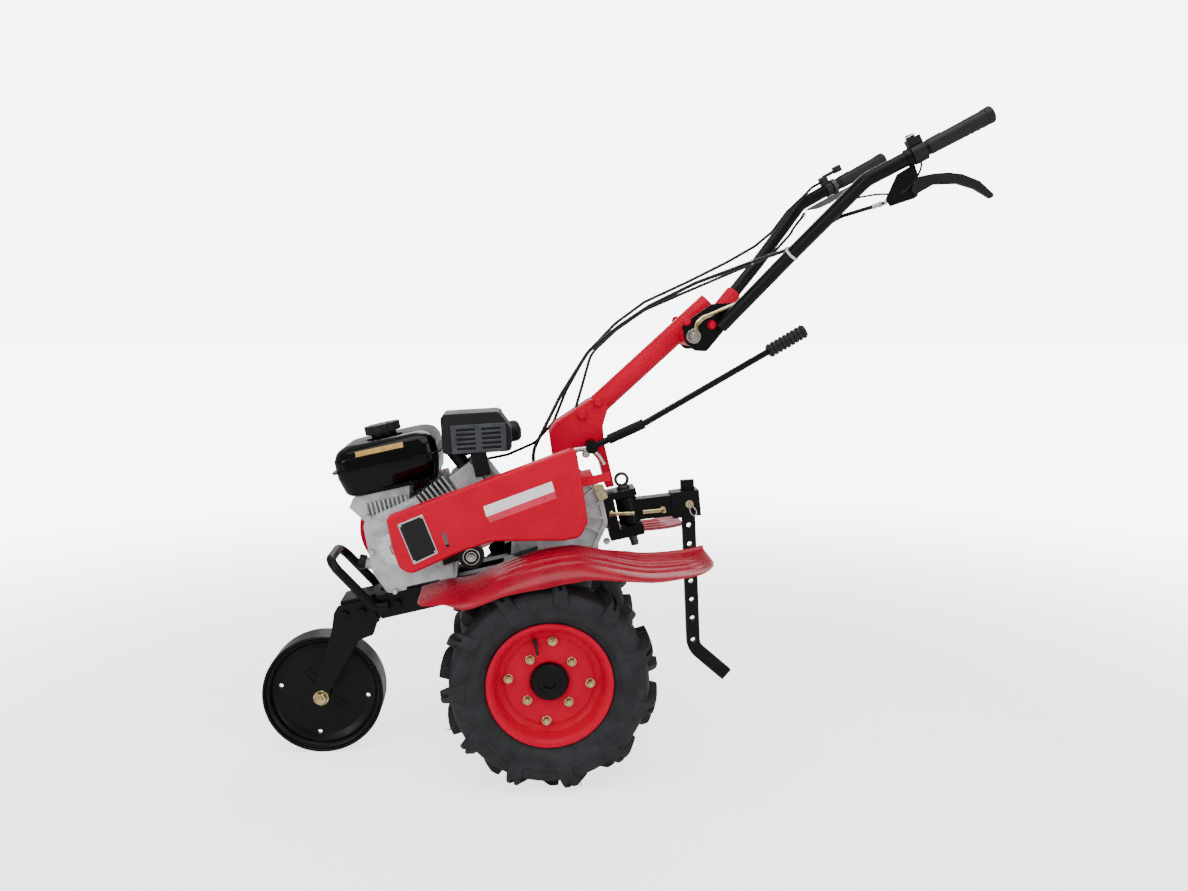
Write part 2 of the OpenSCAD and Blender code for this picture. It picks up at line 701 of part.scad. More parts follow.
module front_wheel() {
    hub = front_bolt_d / 2 + run_gap;
    hub_y = nose_w / 2 - 5;
    color("#141416") difference() {
        ring_profile([front_x, front_z], 0)
            polygon([[hub, -hub_y], [15, -hub_y], [17, -6], [60, -3], [front_r - 8, -6],
                     [front_r - 4, -front_w / 2], [front_r, -front_w / 2], [front_r, front_w / 2],
                     [front_r - 4, front_w / 2], [front_r - 8, 10], [60, 3], [17, 2],
                     [15, hub_y], [hub, hub_y]]);
        for (a = [20, 110, 200, 290])
            cross_rod([front_x + 86 * cos(a), front_z + 86 * sin(a)], 9, -30, 30);
    }
}
module front_axle() {
    color("#b8b6a0") {
        cross_rod([front_x, front_z], front_bolt_d, -strut_y - strut_t, strut_y + strut_t);
        both_sides() cross_rod([front_x, front_z], 22, strut_y + strut_t, strut_y + strut_t + 7);
    }
}

// Handlebar

plate_y = 58;
bar_elbow = [105, -34, -30.5];
bar_path = rounded_path([
    [-460, 74.5, 557], [-600, 130, 660], grip_start + bar_elbow, grip_start - 42 * grip_dir,
    grip_start - 0.4 * grip_dir], 60, 5);
plate_outline = rounded_outline([
    [-389, 577], [-390, 541], [-404, 522], [-426, 516], [-502, 576], [-498, 596], [-453, 602],
    [-419, 588]], 9);
module handlebar_side() {
    difference() {
        union() {
            tube_along(bar_path, bar_d, 14);
            side_plate(plate_outline, plate_y, 6);
        }
        cross_rod(pivot, pivot_d + 2 * run_gap, plate_y - 1, plate_y + 12);
    }
}
module handlebar_left() {
    color("#131315") {
        handlebar_side();
        cross_rod([-491, 581], 12, -plate_y + seat_gap, plate_y + 1);
    }
}
module handlebar_right() {
    color("#131315") mirror([0, 1, 0]) handlebar_side();
}
module grips() {
    color("#1d1d20") both_sides() tube_along([
        grip_start, grip_start + 0.94 * grip_l * grip_dir, grip_start + grip_l * grip_dir], grip_d, 16);
}
module clutch_bracket() {
    color("#15171b") {
        bar_collar(-41, -32);
        grip_plate([
            [-66, -16], [-36, -14], [-32, -14], [-34, -30], [-38, -39], [-50, -66], [-58, -67], [-99, -60],
            [-102, -46]], 4);
    }
}
module clutch_lever() {
    color("#15171b") difference() {
        grip_plate(lever_outline, 15);
        grip_plate([[-110, -80], [-28, -80], [-28, -10], [-110, -10]], 4 + 2 * seat_gap);
    }
}
module kill_switch() {
    color("#2a2a2c") {
        bar_collar(-30, -6, 5);
        along_grip() translate([bar_d / 2 + 2, -13, -30]) cube([13, 26, 24]);
        along_grip() translate([bar_d / 2 + 14, -7, -27]) cube([5, 14, 14]);
    }
}
module throttle_control() {
    color("#2a2a2c") mirror([0, 1, 0]) {
        bar_collar(-40, -26);
        along_grip() translate([bar_d / 2 + 1, -9, -40]) cube([16, 18, 14]);
        along_grip() translate([bar_d / 2 + 12, -4, -30]) cube([7, 8, 42]);
        along_grip() translate([bar_d / 2 + 10, -8, 0]) cube([14, 16, 14]);
    }
}
module reverse_lever() {
    color("#6a6a6c") mirror([0, 1, 0]) {
        bar_collar(-22, -12, 3.5);
        grip_plate([
            [-96, -16], [-60, -15.6], [-10, -15.6], [-2, -16.4], [44, -16.8], [46, -19], [44, -21], [8, -25],
            [-41, -29], [-71, -27], [-96, -19]], 12);
    }
}

module clutch_cable() {
    color("#0e0e0f") tube_along(rounded_path(clutch_route, 60, 3), 7, 8);
}
module throttle_cable() {
    color("#0e0e0f") tube_along(rounded_path(throttle_route, 40, 3), 6, 8);
}
module reverse_cable() {
    color("#0e0e0f") tube_along(rounded_path(reverse_route, 60, 3), 6, 8);
}

module oil_neck() {
    translate([282, 34, engine_base_z + 54]) rotate([0, 66, 0]) children();
}

module stake_bar(grow) {
    w = stake_w + 2 * grow;
    t = stake_t + 2 * grow;
    translate([-w / 2, -t / 2, -60]) cube([w, t, 120]);
}

module at_stake() {
    at_drawbar() translate([stake_x, 0, 0]) rotate([0, -stake_lean, 0]) children();
}

module along_grip() {
    translate(grip_start)
        rotate([0, acos(grip_dir[2]), atan2(grip_dir[1], grip_dir[0])]) rotate([0, 0, 180]) children();
}

module bar_collar(z0, z1, wall = 2.5) {
    along_grip() translate([0, 0, z0]) difference() {
        cylinder(d = bar_d + 2 * wall, h = z1 - z0);
        translate([0, 0, -1]) cylinder(d = bar_d + 2 * seat_gap, h = z1 - z0 + 2);
    }
}

lever_outline = [
    [-57, -52], [-48, -42], [-35, -37], [-11.5, -44], [11, -54], [31, -68], [51.5, -92], [63, -124],
    [59, -128], [54, -127], [37.6, -100], [15.5, -78], [-19, -61], [-46, -62], [-55, -64]];

module bar_box(z0, z1) {
    along_grip() translate([bar_d / 2 + seat_gap, -11, z0]) cube([20, 22, z1 - z0]);
}

clutch_route = [
    [-755.9, 233.3, 716.5], [-735, 228, 714], [-712, 202, 712], [-690, 168, 710], [-640, 128, 684],
    [-600, 104, 672], [-540, 74, 664], [-430, 70, 648], [-335, 62, 624], [-270, 60, 598], [-205, 60, 565],
    [-135, 60, 494], [-95, 60, 444], [-60, 54, 400], [-50, 50, box_top_z + 0.6]];

throttle_route = [
    [-796, -236, 801], [-770, -222, 794], [-735, -190, 775], [-690, -160, 752], [-640, -122, 716],
    [-590, -84, 694], [-520, -50, 674], [-430, -30, 652], [-335, 0, 632], [-270, 14, 604], [-205, 10, 560],
    [-150, -42, 492], [-112, -52, 434], [-66, -62, 400], [-6, -78, 386], [35.4, -84, 386]];

reverse_route = [
    [-738, -226, 736], [-705, -195, 715], [-690, -166, 705], [-640, -126, 676], [-600, -100, 664],
    [-520, -72, 650], [-430, -50, 634], [-335, -24, 616], [-270, -10, 590], [-212, 0, 556], [-184, 14, 505],
    [-160, 18, 461]];

function lifted(line, dz) = [for (p = line) p + [0, dz]];

function band(line, a, b) = concat(lifted(line, b), lifted(reversed(line), a));

function lug_profile() =
    let (c = cos(lug_chevron), half = tyre_w / 2, top = sqrt(tyre_r * tyre_r - lug_t * lug_t / 4) - 0.3)
    [[carcass_r - 8, -8 / c], [top, -8 / c], [top - 1, 10 / c], [top - 8, (half - 10) / c],
     [top - 17, (half - 1) / c], [carcass_r - 26, half / c], [carcass_r - 30, (half - 8) / c]];

module lug(side) {
    mirror([0, side > 0 ? 0 : 1, 0])
        rotate([lug_chevron, 0, 0])
            linear_extrude(lug_t, center = true) polygon(lug_profile());
}

module tyre() {
    translate([0, wheel_y, 0]) {
        ring_profile([0, 0], 0) polygon([
            [rim_seat_r + seat_gap, -bead_w / 2], [rim_flange_r + 4, -bead_w / 2], [132, -tyre_w / 2 + 7],
            [148, -tyre_w / 2 + 3], [162, -tyre_w / 2 + 3], [174, -tyre_w / 2 + 9], [carcass_r - 3, -28],
            [carcass_r, 0], [carcass_r - 3, 28], [174, tyre_w / 2 - 9], [162, tyre_w / 2 - 3],
            [148, tyre_w / 2 - 3], [132, tyre_w / 2 - 7], [rim_flange_r + 4, bead_w / 2],
            [rim_seat_r + seat_gap, bead_w / 2]]);
        for (i = [0:lug_count - 1]) {
            rotate([0, i * 360 / lug_count, 0]) lug(1);
            rotate([0, (i + 0.5) * 360 / lug_count, 0]) lug(-1);
        }
    }
}

module grip_plate(outline, t) {
    along_grip() rotate(240, [1, 1, 1]) translate([0, 0, -t / 2]) linear_extrude(t) polygon(outline);
}

module bar_sleeve() {
    dir = unit([-140, -55.5, 103]);
    color("#c4121e") translate([-494, -88, 582])
        rotate([0, acos(dir[2]), atan2(dir[1], dir[0])]) difference() {
            cylinder(d = bar_d + 8, h = 50);
            translate([0, 0, -1]) cylinder(d = bar_d + 2 * seat_gap, h = 52);
        }
}

parked() frame_rails();
parked() front_strut();
parked() lift_loop();
parked() crankcase();
parked() cylinder_block();  // cylinder
parked() rocker_cover();
parked() fan_shroud();
parked() recoil_starter();
parked() fuel_tank();
parked() fuel_cap();
parked() muffler();
parked() muffler_guard();
parked() air_cleaner();
parked() carburettor();
parked() oil_fillers();
parked() crank_pulley();
parked() input_pulley();
parked() drive_belt();
parked() idler_pulley();
parked() belt_cover();
parked() gearbox();
parked() column_base();
parked() handle_column();
parked() clamp_lever();
parked() shift_lever();
parked() shift_grip();
parked() fenders();
parked() fender_stays();
parked() hitch_block();
parked() hitch_pin();
parked() drawbar();
parked() depth_stake();
parked() stake_pin();
parked() drive_axle();
parked() wheel_hubs();
parked() rims();
parked() tyres();
parked() front_wheel();
parked() front_axle();
parked() handlebar_left();
parked() handlebar_right();
parked() bar_sleeve();
parked() grips();
parked() clutch_bracket();
parked() clutch_lever();
parked() kill_switch();
parked() throttle_control();
parked() reverse_lever();
parked() clutch_cable();
parked() throttle_cable();
parked() reverse_cable();
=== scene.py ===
import json
import math

import bmesh
import bpy
import numpy as np
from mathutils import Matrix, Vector


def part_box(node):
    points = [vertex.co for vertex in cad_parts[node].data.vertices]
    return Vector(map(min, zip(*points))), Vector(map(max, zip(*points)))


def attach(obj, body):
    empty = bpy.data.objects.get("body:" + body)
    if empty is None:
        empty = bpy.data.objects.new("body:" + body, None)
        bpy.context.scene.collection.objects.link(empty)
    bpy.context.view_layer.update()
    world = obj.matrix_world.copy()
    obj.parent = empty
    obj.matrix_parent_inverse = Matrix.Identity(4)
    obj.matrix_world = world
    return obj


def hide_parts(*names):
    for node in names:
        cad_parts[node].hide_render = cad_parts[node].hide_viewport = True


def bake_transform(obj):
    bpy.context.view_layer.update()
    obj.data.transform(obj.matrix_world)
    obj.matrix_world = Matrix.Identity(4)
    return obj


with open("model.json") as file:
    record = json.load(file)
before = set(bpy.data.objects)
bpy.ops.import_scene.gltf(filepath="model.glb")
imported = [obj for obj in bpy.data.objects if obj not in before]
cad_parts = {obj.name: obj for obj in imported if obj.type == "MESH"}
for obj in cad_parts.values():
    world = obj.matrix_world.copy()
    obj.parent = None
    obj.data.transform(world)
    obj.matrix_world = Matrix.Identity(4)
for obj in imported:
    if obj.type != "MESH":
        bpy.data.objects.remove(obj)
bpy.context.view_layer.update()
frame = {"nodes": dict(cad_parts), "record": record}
print("frame loaded:", len(frame["nodes"]), "nodes")

# Machine places are in mm from the axle's centre: forward, left, up, with the nose tipped down on its wheel
axleLow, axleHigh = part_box("drive_axle")
axle = (np.array(axleLow) + np.array(axleHigh)) / 2
noseDown = math.radians(12.023)


def toWorld(points):
    # turns forward and up by the nose-down angle, scales mm to m, and shifts to the axle
    p = np.asarray(points, float)
    x = p[..., 0] * math.cos(noseDown) + p[..., 2] * math.sin(noseDown)
    z = p[..., 2] * math.cos(noseDown) - p[..., 0] * math.sin(noseDown)
    return np.stack([x, p[..., 1], z], -1) / 1000 + axle


def newObject(name, data):
    thing = bpy.data.objects.new(name, data)
    bpy.context.scene.collection.objects.link(thing)
    return thing


# Camera: mm forward of the axle, left of the middle and up from the floor; angles in radians
cameraSpot = {"forward": 56.9, "left": 2052.7, "up": 866.6, "pitch": 0.126, "yaw": 0.075, "lens": 31.68,
              "sensor": 36}

camData = bpy.data.cameras.new("camera")
camData.lens, camData.sensor_width = cameraSpot["lens"], cameraSpot["sensor"]
cam = newObject("camera", camData)
cam.location = (axle[0] + cameraSpot["forward"] / 1000, cameraSpot["left"] / 1000, cameraSpot["up"] / 1000)
lookAlong = Vector((-math.sin(cameraSpot["yaw"]) * math.cos(cameraSpot["pitch"]),
                    -math.cos(cameraSpot["yaw"]) * math.cos(cameraSpot["pitch"]),
                    -math.sin(cameraSpot["pitch"])))
cam.rotation_euler = lookAlong.to_track_quat("-Z", "Y").to_euler()
bpy.context.scene.camera = cam
print("camera set")

# White studio: strength of the backdrop as fill light, as the camera sees it, and of the floor near the machine
studio = {"floor": "#f6f6f4", "sky": "#ffffff", "fill": 0.5, "seen": 7.0, "near": 2.0}


def linearColour(code, alpha=1.0):
    # sRGB hex to the linear values that shaders use
    s = np.array([int(code[i:i + 2], 16) for i in (1, 3, 5)]) / 255
    return (*np.where(s <= 0.04045, s / 12.92, ((s + 0.055) / 1.055) ** 2.4), alpha)


def setInputs(tree, node, inputs):
    # an output is linked to the input, anything else is its value
    for name, value in inputs.items():
        if isinstance(value, bpy.types.NodeSocket):
            tree.links.new(value, node.inputs[name])
        else:
            node.inputs[name].default_value = value


def addNode(tree, kind, inputs=None, **settings):
    node = tree.nodes.new(kind)
    for name, value in settings.items():
        setattr(node, name, value)
    setInputs(tree, node, inputs or {})
    return node


def softLight(name, place, target, width, height, power):
    data = bpy.data.lights.new(name, "AREA")
    data.shape, data.size, data.size_y, data.energy = "RECTANGLE", width, height, power
    lamp = newObject(name, data)
    lamp.location = place
    lamp.rotation_euler = (Vector(target) - Vector(place)).to_track_quat("-Z", "Y").to_euler()


world = bpy.data.worlds.new("studio")
bpy.context.scene.world = world
world.use_nodes = True
sky = world.node_tree.nodes["Background"]
# the backdrop is overexposed to white, the fill light it gives is less
ray = addNode(world.node_tree, "ShaderNodeLightPath")
power = addNode(world.node_tree, "ShaderNodeMapRange", {
    "Value": ray.outputs["Is Camera Ray"], "To Min": studio["fill"], "To Max": studio["seen"]})
setInputs(world.node_tree, sky, {"Color": linearColour(studio["sky"]), "Strength": power.outputs["Result"]})
# soft boxes in m and W
lamps = {
    "topBox": dict(place=(0.2, 0.8, 3.0), target=(0, 0, 0.4), width=2.6, height=2.2, power=62),
    "leftBox": dict(place=(2.4, 2.6, 1.5), target=(0, 0, 0.4), width=1.6, height=1.8, power=40),
    "rightBox": dict(place=(-2.4, 2.6, 1.3), target=(0, 0, 0.4), width=1.6, height=1.8, power=30),
    "backBox": dict(place=(0.0, -2.8, 2.2), target=(0, 0, 0.5), width=2.6, height=1.6, power=45),
}
for name, lamp in lamps.items():
    softLight(name, **lamp)

# Materials: light and dark tone, size of their patches and of the grain in mm, strength of the grain's bump, least and
# most roughness, and what else the material has
finishes = {
    # enamel sprayed on pressed steel: deep red, wet gloss, faint orange peel
    "redEnamel": ("#cc002f", "#c0002a", 60, 3.0, 0.02, (0.22, 0.34), dict(gloss=0.06, coat=0.03)),
    # the same enamel on the mudguards: flatter, dulled by dust
    "mudguardEnamel": ("#a50026", "#8c001f", 45, 2.2, 0.05, (0.22, 0.34),
                       dict(gloss=0.26, dust="#86585a", dustMm=35, dustShare=0.06)),
    # black stoving enamel on frame steel: thin, slightly uneven
    "blackEnamel": ("#0b0b0c", "#050506", 40, 1.6, 0.05, (0.28, 0.46), dict(gloss=0.16)),
    # tank enamel: black mirror gloss
    "tankEnamel": ("#050506", "#030304", 80, 4.0, 0.01, (0.06, 0.11), dict(gloss=0.16)),
    # die-cast aluminium: pale grey, sandy skin, soft sheen
    "castAluminium": ("#d2d3d5", "#a9abae", 26, 1.3, 0.22, (0.40, 0.58), dict(metallic=0.35)),
    # turned aluminium pulley: bright and fine
    "turnedAluminium": ("#e6e7e9", "#c4c6c9", 14, 0.9, 0.06, (0.20, 0.32), dict(metallic=0.8)),
    # yellow zinc plate: straw tint that shifts from piece to piece
    "yellowZinc": ("#d9c99a", "#9c8c62", 9, 0.8, 0.05, (0.14, 0.26), dict(metallic=1.0)),
    # white zinc plate on levers and small bolts
    "whiteZinc": ("#d8d8d6", "#a3a29d", 10, 0.8, 0.05, (0.16, 0.30), dict(metallic=1.0)),
    # mill steel, oiled: dark grey
    "oiledSteel": ("#4c4d50", "#313235", 16, 1.0, 0.08, (0.30, 0.50), dict(metallic=0.6)),
    # moulded tyre rubber: grey-black, dry, with a film of dust
    "tyreRubber": ("#2b2d31", "#1b1d20", 30, 1.2, 0.16, (0.50, 0.70),
                   dict(gloss=0.2, dust="#4a4a48", dustMm=28, dustShare=0.14)),
    # soft grip rubber
    "gripRubber": ("#17181b", "#0e0f11", 20, 1.0, 0.10, (0.42, 0.58), dict(gloss=0.3)),
    # heat-proof paint on the muffler: dead black, a little browner where it runs hot
    "heatPaint": ("#100f0f", "#090808", 34, 1.1, 0.16, (0.42, 0.62), dict(gloss=0.3)),
    # heat guard: dark grey, semi-gloss
    "guardPaint": ("#41454d", "#2f3238", 24, 1.2, 0.06, (0.26, 0.40), dict(gloss=0.4)),
    # moulded black polypropylene with spark-eroded grain
    "blackPlastic": ("#121214", "#0a0a0c", 30, 0.9, 0.18, (0.40, 0.55), dict(gloss=0.3)),
    # red push button, moulded ABS
    "redPlastic": ("#cc0426", "#b50320", 12, 0.8, 0.05, (0.22, 0.32), dict(gloss=0.3)),
    # cable sheath, extruded PVC
    "cablePvc": ("#0e0e10", "#070708", 25, 1.0, 0.05, (0.30, 0.42), dict(gloss=0.3)),
    # bare rating plate: brushed aluminium foil
    "plateFoil": ("#d2d5da", "#b6bac0", 18, 0.8, 0.04, (0.28, 0.38), dict(metallic=0.5)),
    # gold foil band, plain
    "goldFoil": ("#c9a45a", "#ab8742", 18, 0.8, 0.03, (0.28, 0.38), dict(metallic=0.6)),
    # plain vinyl bands on the cover
    "whiteVinyl": ("#fbf9f9", "#f2efee", 30, 2.0, 0.02, (0.30, 0.40), dict(gloss=0.3)),
    "roseVinyl": ("#dd3a55", "#d2324c", 30, 2.0, 0.02, (0.26, 0.36), dict(gloss=0.3)),
    # nylon cable ties, natural
    "whiteNylon": ("#e8e6e0", "#d9d6cf", 8, 0.8, 0.04, (0.30, 0.42), dict(gloss=0.4)),
}


def newMaterial(name):
    mat = bpy.data.materials.new(name)
    mat.use_nodes = True
    return mat, mat.node_tree, mat.node_tree.nodes["Principled BSDF"]


def makeFinish(name, light, dark, patchMm, grainMm, bumpHigh, rough, extra):
    # noise at patchMm mixes the two tones and the gloss, noise at grainMm gives the bump
    mat, tree, shader = newMaterial(name)
    place = addNode(tree, "ShaderNodeTexCoord").outputs["Object"]
    patch = addNode(tree, "ShaderNodeTexNoise", {
        "Vector": place, "Scale": 1000 / patchMm, "Detail": 5.0, "Roughness": 0.6})
    grain = addNode(tree, "ShaderNodeTexNoise", {"Vector": place, "Scale": 1000 / grainMm, "Detail": 2.0})
    spread = addNode(tree, "ShaderNodeMapRange", {"Value": patch.outputs["Fac"], "From Min": 0.32, "From Max": 0.68})
    tone = addNode(tree, "ShaderNodeMix", {
        "Factor": spread.outputs["Result"], "A": linearColour(dark), "B": linearColour(light)}, data_type="RGBA")
    colour = tone.outputs["Result"]
    gloss = addNode(tree, "ShaderNodeMapRange", {
        "Value": patch.outputs["Fac"], "From Min": 0.3, "From Max": 0.7, "To Min": rough[0], "To Max": rough[1]})
    if "dust" in extra:
        # dust lies in blotches, thicker where the surface faces up
        blotch = addNode(tree, "ShaderNodeTexNoise", {
            "Vector": place, "Scale": 1000 / extra["dustMm"], "Detail": 6.0, "Roughness": 0.7})
        normal = addNode(tree, "ShaderNodeNewGeometry").outputs["Normal"]
        facing = addNode(tree, "ShaderNodeSeparateXYZ", {"Vector": normal})
        lying = addNode(tree, "ShaderNodeMapRange", {
            "Value": facing.outputs["Z"], "From Min": -0.2, "From Max": 1.0, "To Min": 0.25, "To Max": 1.0})
        amount = addNode(tree, "ShaderNodeMapRange", {
            "Value": blotch.outputs["Fac"], "From Min": 0.42, "From Max": 0.72, "To Max": extra["dustShare"] * 2})
        share = addNode(tree, "ShaderNodeMath", {0: lying.outputs["Result"], 1: amount.outputs["Result"]},
                        operation="MULTIPLY")
        dusty = addNode(tree, "ShaderNodeMix", {
            "Factor": share.outputs["Value"], "A": colour, "B": linearColour(extra["dust"])}, data_type="RGBA")
        colour = dusty.outputs["Result"]
    bump = addNode(tree, "ShaderNodeBump", {
        "Height": grain.outputs["Fac"], "Strength": bumpHigh, "Distance": grainMm / 2000})
    setInputs(tree, shader, {
        "Base Color": colour, "Roughness": gloss.outputs["Result"], "Normal": bump.outputs["Normal"],
        "Metallic": extra.get("metallic", 0.0), "Specular IOR Level": extra.get("gloss", 0.5),
        "Coat Weight": extra.get("coat", 0.0), "Coat Roughness": 0.06})
    return mat


finish = {name: makeFinish(name, *spec) for name, spec in finishes.items()}
print("materials made:", len(finish))


def floorMaterial():
    # pale paper sweep: seen by the camera it lightens to the backdrop's white from 0.9 m to 3.5 m out
    mat, tree, shader = newMaterial("studioFloor")
    place = addNode(tree, "ShaderNodeTexCoord").outputs["Object"]
    reach = addNode(tree, "ShaderNodeVectorMath", {0: place}, operation="LENGTH")
    sweep = addNode(tree, "ShaderNodeMapRange", {
        "Value": reach.outputs["Value"], "From Min": 0.9, "From Max": 3.5,
        "To Min": studio["near"], "To Max": studio["seen"]},
                    interpolation_type="SMOOTHSTEP")
    seen = addNode(tree, "ShaderNodeLightPath").outputs["Is Camera Ray"]
    glow = addNode(tree, "ShaderNodeMath", {0: sweep.outputs["Result"], 1: seen}, operation="MULTIPLY")
    setInputs(tree, shader, {
        "Base Color": linearColour(studio["floor"]), "Roughness": 0.8, "Specular IOR Level": 0.1,
        "Emission Color": linearColour(studio["sky"]), "Emission Strength": glow.outputs["Value"]})
    return mat


floorMesh = bpy.data.meshes.new("floor")
floorMesh.from_pydata([(-30, -30, 0), (30, -30, 0), (30, 30, 0), (-30, 30, 0)], [], [(0, 1, 2, 3)])
floorMesh.materials.append(floorMaterial())
floor = newObject("floor", floorMesh)

# Solids of the frame that stay in sight, by finish, with how far edges are eased in mm; 0 leaves a solid as it is
solids = {
    "blackEnamel": {"frame_rails": 1.5, "front_strut": 1.2, "shift_lever": 0, "fender_stays": 1.0,
        "hitch_block": 1.5, "drawbar": 1.5, "depth_stake": 1.0, "wheel_hubs": 1.0, "handlebar_left": 0,
        "handlebar_right": 0, "clutch_bracket": 0.6},
    "castAluminium": {"crankcase": 2.0, "cylinder": 0.8, "rocker_cover": 2.5, "carburettor": 1.5, "gearbox": 2.0},
    "redEnamel": {"fan_shroud": 3.0, "column_base": 2.5, "handle_column": 0.8, "bar_sleeve": 0.8},
    "blackPlastic": {"recoil_starter": 1.5, "fuel_cap": 1.5, "air_cleaner": 2.0, "oil_fillers": 0.8,
        "idler_pulley": 0.8, "clutch_lever": 1.5, "kill_switch": 1.5, "throttle_control": 1.2},
    "heatPaint": {"muffler": 2.0},
    "guardPaint": {"muffler_guard": 0.8},
    "turnedAluminium": {"crank_pulley": 0.8},
    "oiledSteel": {"input_pulley": 0.8, "hitch_pin": 0.8, "drive_axle": 1.0, "reverse_lever": 1.0},
    "gripRubber": {"drive_belt": 0.8, "shift_grip": 0},
    "yellowZinc": {"clamp_lever": 0.6, "stake_pin": 0.4, "front_axle": 0.8},
}
nodeBody = {n: body for body, names in frame["record"]["behaviour"]["bodies"].items() for n in names}
# weld in m, the rest in degrees: faces flatter than this are joined, edges above it are sharp, or are bevelled
ease = {"weld": 2e-5, "flat": 0.5, "sharp": 38, "bevelled": 32, "segments": 2}


def dressed(name, mesh, look, sharp):
    # the mesh as an object with its finish, smooth up to the sharp angle
    mesh.materials.clear()
    mesh.materials.append(finish[look])
    mesh.polygons.foreach_set("use_smooth", np.ones(len(mesh.polygons), bool))
    mesh.set_sharp_from_angle(angle=math.radians(sharp))
    return newObject(name, mesh)


def easedCopy(node, look, easeMm):
    # a welded copy of the solid with its flat triangles joined, edges bevelled and normals weighted by face size
    mesh = frame["nodes"][node].data.copy()
    shape = bmesh.new()
    shape.from_mesh(mesh)
    bmesh.ops.remove_doubles(shape, verts=shape.verts, dist=ease["weld"])
    bmesh.ops.dissolve_limit(shape, angle_limit=math.radians(ease["flat"]), verts=shape.verts,
                             edges=shape.edges)
    shape.to_mesh(mesh)
    shape.free()
    piece = dressed(node + "_eased", mesh, look, ease["sharp"])
    bevel = piece.modifiers.new("ease", "BEVEL")
    bevel.width, bevel.segments, bevel.limit_method = easeMm / 1000, ease["segments"], "ANGLE"
    bevel.angle_limit = math.radians(ease["bevelled"])
    piece.modifiers.new("weighted", "WEIGHTED_NORMAL").keep_sharp = True
    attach(piece, nodeBody[node])
    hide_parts(node)


for look, nodes in solids.items():
    for node, easeMm in nodes.items():
        if easeMm:
            easedCopy(node, look, easeMm)
        else:
            frame["nodes"][node].data.materials.clear()
            frame["nodes"][node].data.materials.append(finish[look])
print("solids dressed:", sum(len(nodes) for nodes in solids.values()))


def unitRows(v):
    return v / np.linalg.norm(v, axis=-1, keepdims=True)


def fullTurn(sides):
    return np.linspace(0, 2 * math.pi, sides, endpoint=False)


def fadedRun(x, low, high, fadeIn, fadeOut):
    # rises from 0 at low to 1 over fadeIn, and falls back to 0 at high over fadeOut
    return np.clip((x - low) / fadeIn, 0, 1) * np.clip((high - x) / fadeOut, 0, 1)


def closedLoop(rows):
    return np.concatenate([rows, rows[:1]])


def filletPath(points, radii, closed=False, steps=6):
    # each corner becomes the arc that touches both its legs: arc = centre + slerp of the two touch radii
    p = np.asarray(points, float)
    radii = np.broadcast_to(np.asarray(radii, float), len(p))
    corners = range(len(p)) if closed else range(1, len(p) - 1)
    share = np.linspace(0, 1, steps + 1)[:, None]
    arcs = [] if closed else [p[:1]]
    for i in corners:
        back, ahead = p[i - 1] - p[i], p[(i + 1) % len(p)] - p[i]
        backLen, aheadLen = np.linalg.norm(back), np.linalg.norm(ahead)
        back, ahead = back / backLen, ahead / aheadLen
        half = math.acos(np.clip(back @ ahead, -1, 1)) / 2
        # a corner that is all but straight stays a point
        if half > math.pi / 2 - 0.01:
            arcs.append(p[i:i + 1])
            continue
        reach = min(radii[i] / math.tan(half), 0.49 * backLen, 0.49 * aheadLen)
        radius = reach * math.tan(half)
        centre = p[i] + (back + ahead) / np.linalg.norm(back + ahead) * radius / math.sin(half)
        first, last, sweep = p[i] + back * reach - centre, p[i] + ahead * reach - centre, math.pi - 2 * half
        arcs.append(centre + (np.sin((1 - share) * sweep) * first + np.sin(share * sweep) * last) / math.sin(sweep))
    if not closed:
        arcs.append(p[-1:])
    return np.concatenate(arcs)


def smoothPath(points, count):
    # Catmull-Rom through the points: each span blends its four nearest points by cubic weights
    p = np.asarray(points, float)
    p = np.concatenate([2 * p[:1] - p[1:2], p, 2 * p[-1:] - p[-2:-1]])
    s = np.linspace(0, len(p) - 3 - 1e-9, count)
    i, t = s.astype(int), (s % 1)[:, None]
    a, b, c, d = p[i], p[i + 1], p[i + 2], p[i + 3]
    return 0.5 * (2 * b + (c - a) * t + (2 * a - 5 * b + 4 * c - d) * t ** 2 + (3 * b - a - 3 * c + d) * t ** 3)


def sweepGrid(path, radius, sides=20, up=(0, 1, 0)):
    # circle of the given radius carried square to the path
    p = np.asarray(path, float)
    tangent = unitRows(np.gradient(p, axis=0))
    across = unitRows(np.cross(tangent, up))
    lift = np.cross(across, tangent)
    turn = fullTurn(sides)
    r = np.broadcast_to(np.asarray(radius, float), len(p))[:, None, None]
    return p[:, None] + r * (np.cos(turn)[:, None] * across[:, None] + np.sin(turn)[:, None] * lift[:, None])


def turnedGrid(profile, centre, sides=96):
    # (radius, left) profile turned about the cross axis through centre = (forward, up)
    q = np.asarray(profile, float)
    turn = fullTurn(sides)
    r, y = q[:, :1], q[:, 1:]
    return np.stack([centre[0] + r * np.cos(turn), y + 0 * turn, centre[1] + r * np.sin(turn)], -1)


